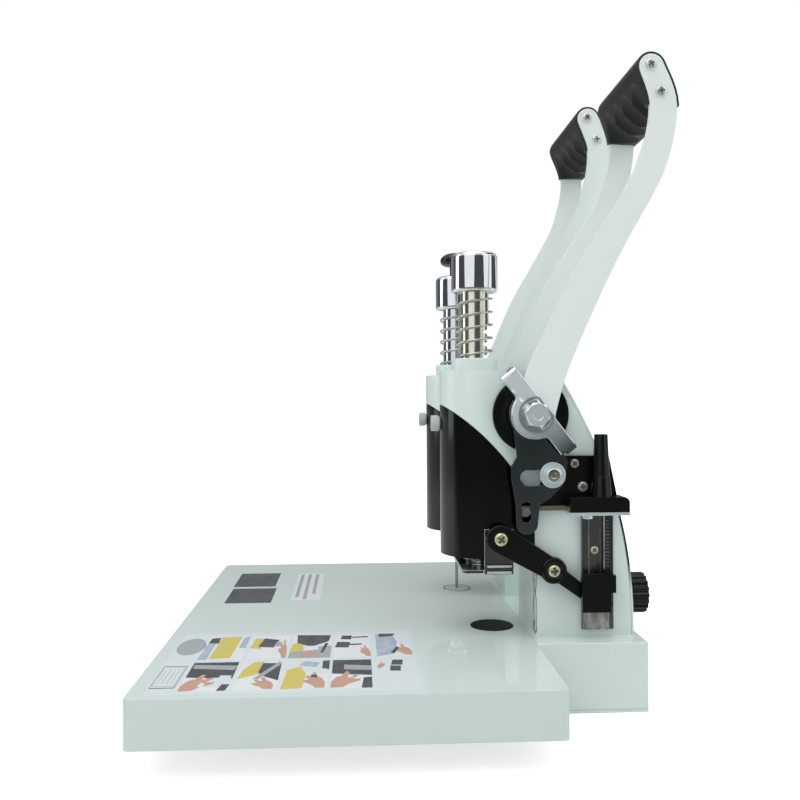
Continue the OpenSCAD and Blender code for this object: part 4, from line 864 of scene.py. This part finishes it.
# ---- The hubs and the wing lever: black moulded discs carry each shaft in the head's side walls.
# A bright pressed lever with bent ends sits on the drill shaft under a lock washer and a hexagon bolt.
plate_bright = finish("plate_bright", (0.88, 0.96, 0.98), (0.74, 0.82, 0.85), (0.14, 0.20), 34, 700, 0.008,
                      metal=0.5)
plate_beige = finish("plate_beige", (0.66, 0.68, 0.64), (0.54, 0.56, 0.53), (0.26, 0.34), 40, 900, 0.012,
                     metal=0.8)
for side in SIDES:
    softened(side + "_hubs", 0.6, plastic_black, 3)
SHAFT_Y, SHAFT_Z = -40 * MM, TABLE_Z + 160 * MM
along = Vector((41.2, -52.5)).normalized()      # from the lever's upper end to its lower one, in Y and Z
across = Vector((-along.y, along.x))


def cut_from(piece, cutter):
    """Takes the cutter's solid out of a piece."""
    tool = piece.modifiers.new("cut", "BOOLEAN")
    tool.operation = "DIFFERENCE"
    tool.solver = "EXACT"
    tool.object = cutter
    plain(piece)
    bpy.data.objects.remove(cutter)


def plate_from(name, outline, x0, x1):
    """A flat plate between two X values from an outline in mm round the shaft."""
    bm = bmesh.new()
    low, high = ([bm.verts.new((x, SHAFT_Y + y * MM, SHAFT_Z + z * MM)) for y, z in outline] for x in (x0, x1))
    prism(bm, low, high)
    return piece_from(name, bm, 30)


def arc(radius, start, end, steps=24):
    """Points on a part of a circle between two angles in degrees."""
    return [(radius * math.cos(math.radians(start + (end - start) * i / steps)),
             radius * math.sin(math.radians(start + (end - start) * i / steps))) for i in range(steps + 1)]


bolt_low, bolt_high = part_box("shaft_bolt")
WASHER_R, WASHER_T, WASHER_FLAT = 12.5, 1.8, 9.2
WINDOW_IN, WINDOW_OUT = 8.3, 9.9
flat_at = math.degrees(math.atan2(across.y, across.x))
open_by = math.degrees(math.acos(WASHER_FLAT / WASHER_R))
washer = plate_from("lock_washer", arc(WASHER_R, flat_at + open_by, flat_at + 360 - open_by, 72),
                    bolt_low.x, bolt_low.x + WASHER_T * MM)
for start, end in ((88, 128), (-62, -24)):
    window = plate_from("window", arc(WINDOW_OUT, start, end, 10) + arc(WINDOW_IN, end, start, 10),
                        bolt_low.x - 1 * MM, bolt_low.x + 3 * MM)
    cut_from(washer, window)
fitted(washer, "drill_handle", [plate_beige], ("shaft_bolt",))


def lever_outline(start, end, inner, outer, lobe, fillet):
    """Outline of the wing lever in mm along and across it: a strip with one straight edge and a round lobe."""
    reach = math.sqrt((lobe + fillet) ** 2 - (fillet - inner) ** 2)
    turn = math.degrees(math.atan2(inner - fillet, reach))
    swing = [(reach + fillet * math.cos(math.radians(a)), inner - fillet + fillet * math.sin(math.radians(a)))
             for a in [90 + (90 + turn) * i / 6 for i in range(7)]]
    return ([(start, outer), (end, outer), (end, inner)] + swing + arc(lobe, turn, -180 - turn, 40)[1:-1]
            + [(-u, v) for u, v in reversed(swing)] + [(start, inner)])


def pressed(name, outline, x0, x1, radius):
    """A plate cut from sheet with its edges rounded: outline in mm along and across the lever."""
    path = bpy.data.curves.new(name, "CURVE")
    path.dimensions = "2D"
    path.fill_mode = "BOTH"
    path.extrude = (x1 - x0) / 2 - radius * MM
    path.bevel_depth = radius * MM
    path.bevel_resolution = 2
    path.offset = -radius * MM
    line = path.splines.new("POLY")
    line.points.add(len(outline) - 1)
    for point, (u, v) in zip(line.points, outline):
        point.co = (u * MM, v * MM, 0, 1)
    line.use_cyclic_u = True
    shape = bpy.data.objects.new(name, path)
    scene.collection.objects.link(shape)
    made = bpy.data.meshes.new_from_object(shape.evaluated_get(bpy.context.evaluated_depsgraph_get()))
    bpy.data.objects.remove(shape)
    bm = merged(made)
    bpy.data.meshes.remove(made)
    for v in bm.verts:
        spot = along * v.co.x + across * v.co.y
        v.co = Vector(((x0 + x1) / 2 + v.co.z, SHAFT_Y + spot.x, SHAFT_Z + spot.y))
    return bm


LEVER_ENDS, LEVER_EDGES, LOBE_R, FILLET = (-32.9, 33.9), (-3.3, 9.5), 17.4, 4.0
LEVER_T, LEVER_EDGE_R = 3.0, 0.9
TAB_T, TAB_BEND, TAB_ROOT = 2.6, 2.4, 0.4
BOW = 0.0014        # how far the lever bends back, in mm for each square mm of distance from the shaft


def fold(bm, u, way, v0, v1, x_front, x_back):
    """The bent end of a lever: from its front face round a bend and back towards the machine."""
    section = [(u - way * TAB_ROOT, x_front)]
    section += [(u + way * (TAB_T - TAB_BEND + TAB_BEND * math.sin(a)),
                 x_front - TAB_BEND + TAB_BEND * math.cos(a)) for a in (math.pi / 2 * i / 8 for i in range(9))]
    section += [(u + way * TAB_T, x_back), (u - way * TAB_ROOT, x_back)]
    rows = []
    for v in (v0, v1):
        spots = [along * q + across * v for q, _ in section]
        rows.append([bm.verts.new((x * MM, SHAFT_Y + spot.x * MM, SHAFT_Z + spot.y * MM))
                     for spot, (_, x) in zip(spots, section)])
    prism(bm, *rows)


wing_low, wing_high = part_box("wing_lever")
wing = pressed("wing", lever_outline(*LEVER_ENDS, *LEVER_EDGES, LOBE_R, FILLET), wing_high.x - LEVER_T * MM,
               wing_high.x, LEVER_EDGE_R)
for end, way, tab_low, tab_high in ((LEVER_ENDS[0], -1, -2.9, 9.1), (LEVER_ENDS[1], 1, 1.4, 9.1)):
    fold(wing, end, way, tab_low, tab_high, wing_high.x / MM - 0.02, wing_low.x / MM)
for cut in range(-32, 36, 2):       # cut across every 2 mm, so that it can bow
    spot = along * cut * MM
    bmesh.ops.bisect_plane(wing, geom=wing.verts[:] + wing.edges[:] + wing.faces[:],
                           plane_co=(0, SHAFT_Y + spot.x, SHAFT_Z + spot.y), plane_no=(0, along.x, along.y))
for v in wing.verts:
    far = Vector((v.co.y - SHAFT_Y, v.co.z - SHAFT_Z)).dot(along) / MM
    v.co.x -= BOW * far * far * MM
lever = piece_from("wing_lever_piece", wing)
lever_zinc = finish("lever_zinc", (0.92, 1.0, 1.0), (0.76, 0.85, 0.88), (0.14, 0.20), 60, 700, 0.008, metal=0.35)


def painted_shade_along(material, way, start, end, colour):
    """Painted shade: the colour deepens along one direction, from start to end."""
    tree, place, _ = place_in(material)
    reach = tree.nodes.new("ShaderNodeVectorMath")
    reach.operation = "DOT_PRODUCT"
    reach.inputs[1].default_value = way
    tree.links.new(place, reach.inputs[0])
    tint(material, ramp(tree, reach.outputs["Value"], start, end), colour)


LEVER_PAINTED_SHADE = (0.07, 0.095, 0.10)
LOW_BEND = 33 * MM
shaft_reach = Vector((SHAFT_Y, SHAFT_Z)).dot(along)
# painted shade on the lever: darker from just above the shaft towards its lower end
painted_shade_along(lever_zinc, (0, along.x, along.y), shaft_reach - 6 * MM, shaft_reach + 34 * MM, LEVER_PAINTED_SHADE)
for face in lever.data.polygons:
    reach = Vector((face.center.y - SHAFT_Y, face.center.z - SHAFT_Z)).dot(along)
    on_edge = abs(face.normal.x) < 0.97
    face.material_index = 1 if on_edge and reach <= LOW_BEND else 0
fitted(lever, "drill_handle", [lever_zinc, chrome], ("wing_lever",))


def hexagon(name, across_flats, x0, h, place, phase):
    """A hexagon bolt head: flats, a turned chamfer and a small dished face; place is the Y and Z of its axis."""
    bm = bmesh.new()
    count, dish = 72, 0.25
    corner = across_flats / math.sqrt(3)
    rings = []
    for height, limit in ((0, corner), (0.74 * h, corner), (0.86 * h, across_flats * 0.545),
                          (h, across_flats * 0.475), (h, across_flats * 0.24), (h - dish, across_flats * 0.22),
                          (h - dish, 0)):
        ring = []
        for i in range(count if limit else 1):
            a = 2 * math.pi * i / count
            flat = across_flats / 2 / math.cos((a + math.pi / 6) % (math.pi / 3) - math.pi / 6)
            radius = min(flat, limit)
            ring.append(bm.verts.new((x0 + height * MM, place[0] + radius * MM * math.cos(a + phase),
                                      place[1] + radius * MM * math.sin(a + phase))))
        rings.append(ring)
    bm.faces.new(rings[0])
    for a, b in zip(rings, rings[1:]):
        joined(bm, a, b, count)
    return piece_from(name, bm, 24)


BOLT_FLATS, BOLT_TURN = 16.0, 0.35
bolt = hexagon("shaft_bolt_head", BOLT_FLATS, bolt_low.x + WASHER_T * MM,
               (bolt_high.x - bolt_low.x) / MM - WASHER_T, (SHAFT_Y, SHAFT_Z), BOLT_TURN)
fitted(bolt, "drill_handle", [plate_bright], ("shaft_bolt",))


# ---- The tube cutter: a dark plated rocker turns about the shaft and pushes a flat blade under a black shelf.
# The bracket behind it is moulded, and a stepped guide on the shelf takes the plastic tube.
plate_dark = finish("plate_dark", (0.14, 0.17, 0.175), (0.21, 0.245, 0.25), (0.18, 0.26), 34, 900, 0.012,
                    metal=1.0)
blade_brown = finish("blade_brown", (0.46, 0.41, 0.31), (0.34, 0.31, 0.24), (0.24, 0.34), 60, 900, 0.012,
                     metal=0.8)
softened("cutter_bracket", 0.4, plastic_black)
# the rocker's broken edges take the chrome finish: a painted highlight along them
softened("cutter_rocker", 0.6, plate_dark, 3, rim=chrome)
softened("cutter_shelf", 0.8, plastic_black, 3)
softened("cutter_plate", 0.2, plate_bright)
softened("cutter_blade", 0.2, blade_brown)
softened("tube_guide", 0.4, plastic_black)
low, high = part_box("rocker_bolt")
middle = ((low.y + high.y) / 2, (low.z + high.z) / 2)
SHANK_R, PIN_HEAD_R = 4.0, 4.6
pin_long = (high.x - low.x) / MM
# washer, groove, collar and rounded head, given as radius and depth below the top
PIN = ((SHANK_R, 5.0), (9.0, 5.0), (9.2, 4.8), (9.2, 3.7), (8.9, 3.4), (7.3, 3.4), (7.1, 3.6), (6.6, 3.6),
       (6.4, 3.4), (5.6, 3.4), (5.6, 0.9), (5.2, 0.4), (4.2, 0.1), (2.2, 0), (1.9, 0.5), (0, 0.5))
pin = turned("rocker_bolt_piece", [(0, 0), (SHANK_R, 0)] + [(radius, pin_long - below) for radius, below in PIN],
             (low.x, *middle), "X")
for face in pin.data.polygons:
    off = math.hypot(face.center.y - middle[0], face.center.z - middle[1])
    face.material_index = 1 if off < PIN_HEAD_R * MM else 0
fitted(pin, "frame", [plate_bright, plate_yellow], ("rocker_bolt",))
NUT_AT, NUT_T = (95 * MM, -1.2 * MM), 3.0
nut = turned("plate_nut", [(1.6, 0), (3.4, 0), (3.6, 0.3), (3.6, 2.6), (3.2, NUT_T), (1.6, NUT_T)],
             (*NUT_AT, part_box("cutter_plate")[0].z - NUT_T * MM), count=6)
fitted(nut, "frame", [plate_bright])


# ---- The length stop: a steel rail with a groove and a dark scale, and a black slider that the link pushes up it.
# The link arm joins the presser to the slider, so that the cut tube always suits the stack.
rail_low, rail_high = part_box("length_rail")
rail_steel = finish("rail_steel", (0.30, 0.31, 0.30), (0.19, 0.20, 0.195), (0.24, 0.36), 90, 1500, 0.04, metal=1.0,
                    stretch=(1, 1, 0.15))
scale_black = finish("scale_black", (0.02, 0.021, 0.022), (0.04, 0.041, 0.042), (0.3, 0.42), 90, 1500, 0.03)
scale_line = finish("scale_line", (0.34, 0.35, 0.34), (0.24, 0.25, 0.24), (0.3, 0.42), 90, 1500, 0.03)
softened("length_rail", 0.3, rail_steel, rim=plate_bright)
softened("slider_block", 0.9, plastic_black, 2)
softened("link_arm", 0.9, plastic_black, 3)

TICKS, ticks_in, ticks_out, TICKS_KNOWN = tree_with("scale lines", (
    ("Count", "NodeSocketInt"), ("Step", "NodeSocketVector"), ("Place", "NodeSocketVector"),
    ("Line", "NodeSocketVector"), ("Material", "NodeSocketMaterial")))
row = TICKS.nodes.new("GeometryNodeMeshLine")
mark = TICKS.nodes.new("GeometryNodeMeshCube")
number = TICKS.nodes.new("GeometryNodeInputIndex")
is_fifth = worked(TICKS, "LESS_THAN", worked(TICKS, "MODULO", number.outputs[0], 5), 0.5)
longer = worked(TICKS, "MULTIPLY_ADD", is_fifth, 0.8, 1.0)
stamp = TICKS.nodes.new("GeometryNodeInstanceOnPoints")
for label, socket in (("Count", row.inputs["Count"]), ("Step", row.inputs["Offset"]),
                      ("Place", row.inputs["Start Location"]), ("Line", mark.inputs["Size"])):
    TICKS.links.new(ticks_in.outputs[label], socket)
TICKS.links.new(row.outputs["Mesh"], stamp.inputs["Points"])
TICKS.links.new(mark.outputs["Mesh"], stamp.inputs["Instance"])
TICKS.links.new(vector_of(TICKS, X=1.0, Y=longer, Z=1.0), stamp.inputs["Scale"])
ended(TICKS, ticks_in, ticks_out, stamp.outputs["Instances"])

SCALE_Y = (13.4 * MM, 18.9 * MM)
STRIP_SUNK = 0.6 * MM
RAIL_TOP = rail_high.z - 1 * MM
rail_worn = finish("rail_worn", (0.80, 0.79, 0.74), (0.16, 0.15, 0.14), (0.2, 0.4), 260, 1500, 0.03, metal=0.5,
                   stretch=(1, 1, 0.3))
strip = bar("scale_strip", (rail_high.x - STRIP_SUNK, SCALE_Y[0], rail_low.z + 16 * MM),
            (rail_high.x + 0.05 * MM, SCALE_Y[1], RAIL_TOP), 0.03, 1)
fitted(strip, "frame", [scale_black])
# thin worn strips on the rail's face: start and end in Y and Z, how far each stands out and its broken edge in mm
for name, y0, y1, z0, z1, out, edge in (
        ("rail_line_scale", SCALE_Y[0] - 1.3 * MM, SCALE_Y[0] - 0.1 * MM, rail_low.z + 14 * MM, RAIL_TOP,
         0.08, 0.05),
        ("rail_line_thin", rail_low.y + 5.0 * MM, rail_low.y + 5.5 * MM, rail_low.z + 30 * MM, RAIL_TOP,
         0.06, 0.04),
        ("rail_foot", rail_low.y + 0.8 * MM, rail_high.y - 3.2 * MM, rail_low.z + 0.6 * MM, rail_low.z + 12 * MM,
         0.08, 0.05)):
    strip = bar(name, (rail_high.x - STRIP_SUNK, y0, z0), (rail_high.x + out * MM, y1, z1), edge)
    fitted(strip, "frame", [rail_worn])
ticks = grown("scale_lines", TICKS, TICKS_KNOWN, {
    "Count": 25, "Step": (0, 0, 2.5 * MM),
    "Place": (rail_high.x + 0.06 * MM, SCALE_Y[0] + 1.8 * MM, rail_low.z + 18 * MM),
    "Line": (0.04 * MM, 1.8 * MM, 0.35 * MM), "Material": scale_line})
fitted(ticks, "frame", [])

# heads on the bracket, the rail and the link, and the turned seat under the link
bracket_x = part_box("cutter_bracket")[1].x
PIVOT = (-25.2 * MM, TABLE_Z + 48.7 * MM)
LINK_FACE, SEAT_X, SEAT_GAP = 94.0, 85.0, 0.3
screw_yellow = finish("screw_yellow", (0.90, 0.86, 0.56), (0.76, 0.72, 0.46), (0.18, 0.28), 160, 1500, 0.01,
                      metal=0.65)
screw_dull = finish("screw_dull", (0.80, 0.79, 0.75), (0.66, 0.65, 0.61), (0.24, 0.34), 160, 1500, 0.01, metal=0.6)
# place, diameter, rise, finish, slot and first turn of each
for name, spot, diameter, rise_mm, coat_of, slot_mm, first in (
        ("bracket_screw_small", (bracket_x, -8.7 * MM, SHAFT_Z - 35.5 * MM), 6.6, 1.9, screw_dull, 1.3,
         CROSS_TURN),
        ("bracket_screw_large", (bracket_x, -2.7 * MM, SHAFT_Z - 52.3 * MM), 7.6, 2.0, screw_nickel, 1.4, 12),
        ("rail_screw", (rail_high.x - 0.1 * MM, 5.6 * MM, TABLE_Z + 62 * MM), 5.6, 0.9, screw_yellow, 1.0,
         CROSS_TURN),
        ("pivot_screw", ((LINK_FACE + SEAT_GAP) * MM, *PIVOT), 9.0, 2.2, screw_yellow, 1.7, 8)):
    screws(name, [spot], 1, diameter, rise_mm, "frame", coat_of, ("side_screws",), slot_mm, first)
seat = turned("link_seat", [(0, 0), (6, 0), (6, 3.7), (3, 3.7), (3, 9.2), (0, 9.2)], (SEAT_X * MM, *PIVOT), "X")
fitted(seat, "frame", [steel_plain], ("side_screws",))
boss = turned("link_boss", [(5.4, -0.6), (9.1, -0.6), (9.1, 0.8), (8.6, 1.3), (6.4, 1.3), (5.4, 0.7)],
              (LINK_FACE * MM, *PIVOT), "X")
fitted(boss, "link_arm", [plastic_black])
low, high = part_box("link_screw")
link_at = ((low.y + high.y) / 2, (low.z + high.z) / 2)
screws("link_screw_head", [(LINK_FACE * MM, *link_at)], 1, 9.6, 2.2, "link_arm", screw_yellow,
       ("link_screw",), 1.7, 50)
LINK_SHANK_R, shank_long = 2.5, LINK_FACE - low.x / MM
shank = turned("link_screw_shank", [(0, 0), (LINK_SHANK_R, 0), (LINK_SHANK_R, shank_long), (0, shank_long)],
               (low.x, *link_at), "X")
fitted(shank, "link_arm", [steel_plain], ("link_screw",))


# ---- The presser and the drill: a bright plate on two sprung rods holds the stack while the drill comes down.
# Motor, carriage and chuck ride on the ram inside the cover.
plate_mirror = finish("plate_mirror", (0.27, 0.265, 0.255), (0.18, 0.18, 0.175), (0.10, 0.16), 60, 600, 0.006,
                      metal=1.0)
wire_dark = finish("wire_dark", (0.82, 0.82, 0.80), (0.62, 0.62, 0.60), (0.2, 0.3), 200, 2500, 0.03, metal=1.0)
# the plate's broken edges take the pale finish: a painted highlight along them
softened("presser_plate", 0.5, plate_mirror, rim=plate_bright)
ear_low, ear_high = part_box("presser_plate")
EAR_Y = (-72.2, -54.8)
# the ear's foot is pressed into two beads, given here as height and how far each point stands out
BEAD = 1.2
LIP = [(0.2, -0.4), (0.2, 0.7), (0.6, BEAD), (2.5, BEAD), (3.1, 0.5), (4.8, 0.5), (5.2, BEAD), (6.8, BEAD),
       (7.2, 0.7), (7.2, -0.4)]
lip = bmesh.new()
ends = [[lip.verts.new((ear_high.x + out * MM, y * MM, ear_low.z + up * MM)) for up, out in LIP] for y in EAR_Y]
sides = prism(lip, *ends)[2:]
# the beads' crests take the pale finish and the flanks the dark mirror: painted highlight bands
for face, (_, out), (_, next_out) in zip(sides, LIP, LIP[1:] + LIP[:1]):
    face.material_index = 0 if out == next_out == BEAD else 1
fitted(piece_from("presser_lip", lip), nodes["presser_plate"]["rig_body"],
       [plate_bright, plate_mirror])
for inner in ("presser_rods", "drill_carriage", "drill_motor", "drill_chuck", "hollow_drill"):
    kept(inner, steel_plain)
low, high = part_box("presser_springs")
middle_y = (low.y + high.y) / 2
COIL = high.y - low.y
COIL_WIRE, COIL_TURNS = 1.2 * MM, 5
for name, x in (("presser_spring_far", low.x + COIL / 2), ("presser_spring_near", high.x - COIL / 2)):
    coil = spring(name, x, middle_y, low.z, high.z, COIL, COIL_WIRE, COIL_TURNS, "drill_ram", "presser_springs",
                  wire_dark)
    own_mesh(coil)


# ---- The rivet tools: a heated die under the ram, a ring die in the table and a thin pin that holds the tube.
# The drilling pad beside them is a disc of hard black plastic that is turned when it wears.
kept("heater_block", steel_plain)
kept("upper_die", steel_ground)
die_pale = finish("die_pale", (0.80, 0.81, 0.80), (0.72, 0.73, 0.73), (0.28, 0.4), 90, 900, 0.02, metal=0.35)
softened("rivet_die", 0.3, die_pale)
rim_dark = finish("rim_dark", (0.03, 0.032, 0.033), (0.05, 0.052, 0.054), (0.4, 0.5), 60, 900, 0.02)
die_low, die_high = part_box("rivet_die")
die_r = (die_high.x - die_low.x) / MM / 2
ring = turned("die_rim", [(die_r - inset, height) for inset, height in (
    (1.1, -0.3), (0.1, -0.3), (0.1, 0.03), (0.3, 0.06), (0.9, 0.06), (1.1, 0.03))],
    ((die_low.x + die_high.x) / 2, (die_low.y + die_high.y) / 2, die_high.z))
fitted(ring, nodes["rivet_die"]["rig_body"], [rim_dark])
pin_steel = finish("pin_steel", (0.42, 0.38, 0.34), (0.30, 0.27, 0.24), (0.2, 0.3), 120, 1200, 0.01, metal=1.0)
kept("locating_pin", pin_steel)
pad_black = finish("pad_black", (0.010, 0.010, 0.011), (0.016, 0.016, 0.017), (0.5, 0.6), 90, 1800, 0.1, shine=0.2)
softened("drill_pad", 0.4, pad_black)


# ---- The rear knob: a black moulded knob with ribs on the back of the near column.
# It sits on a short stem through the rear cover.
softened("trim_knob", 0.4, plastic_black)
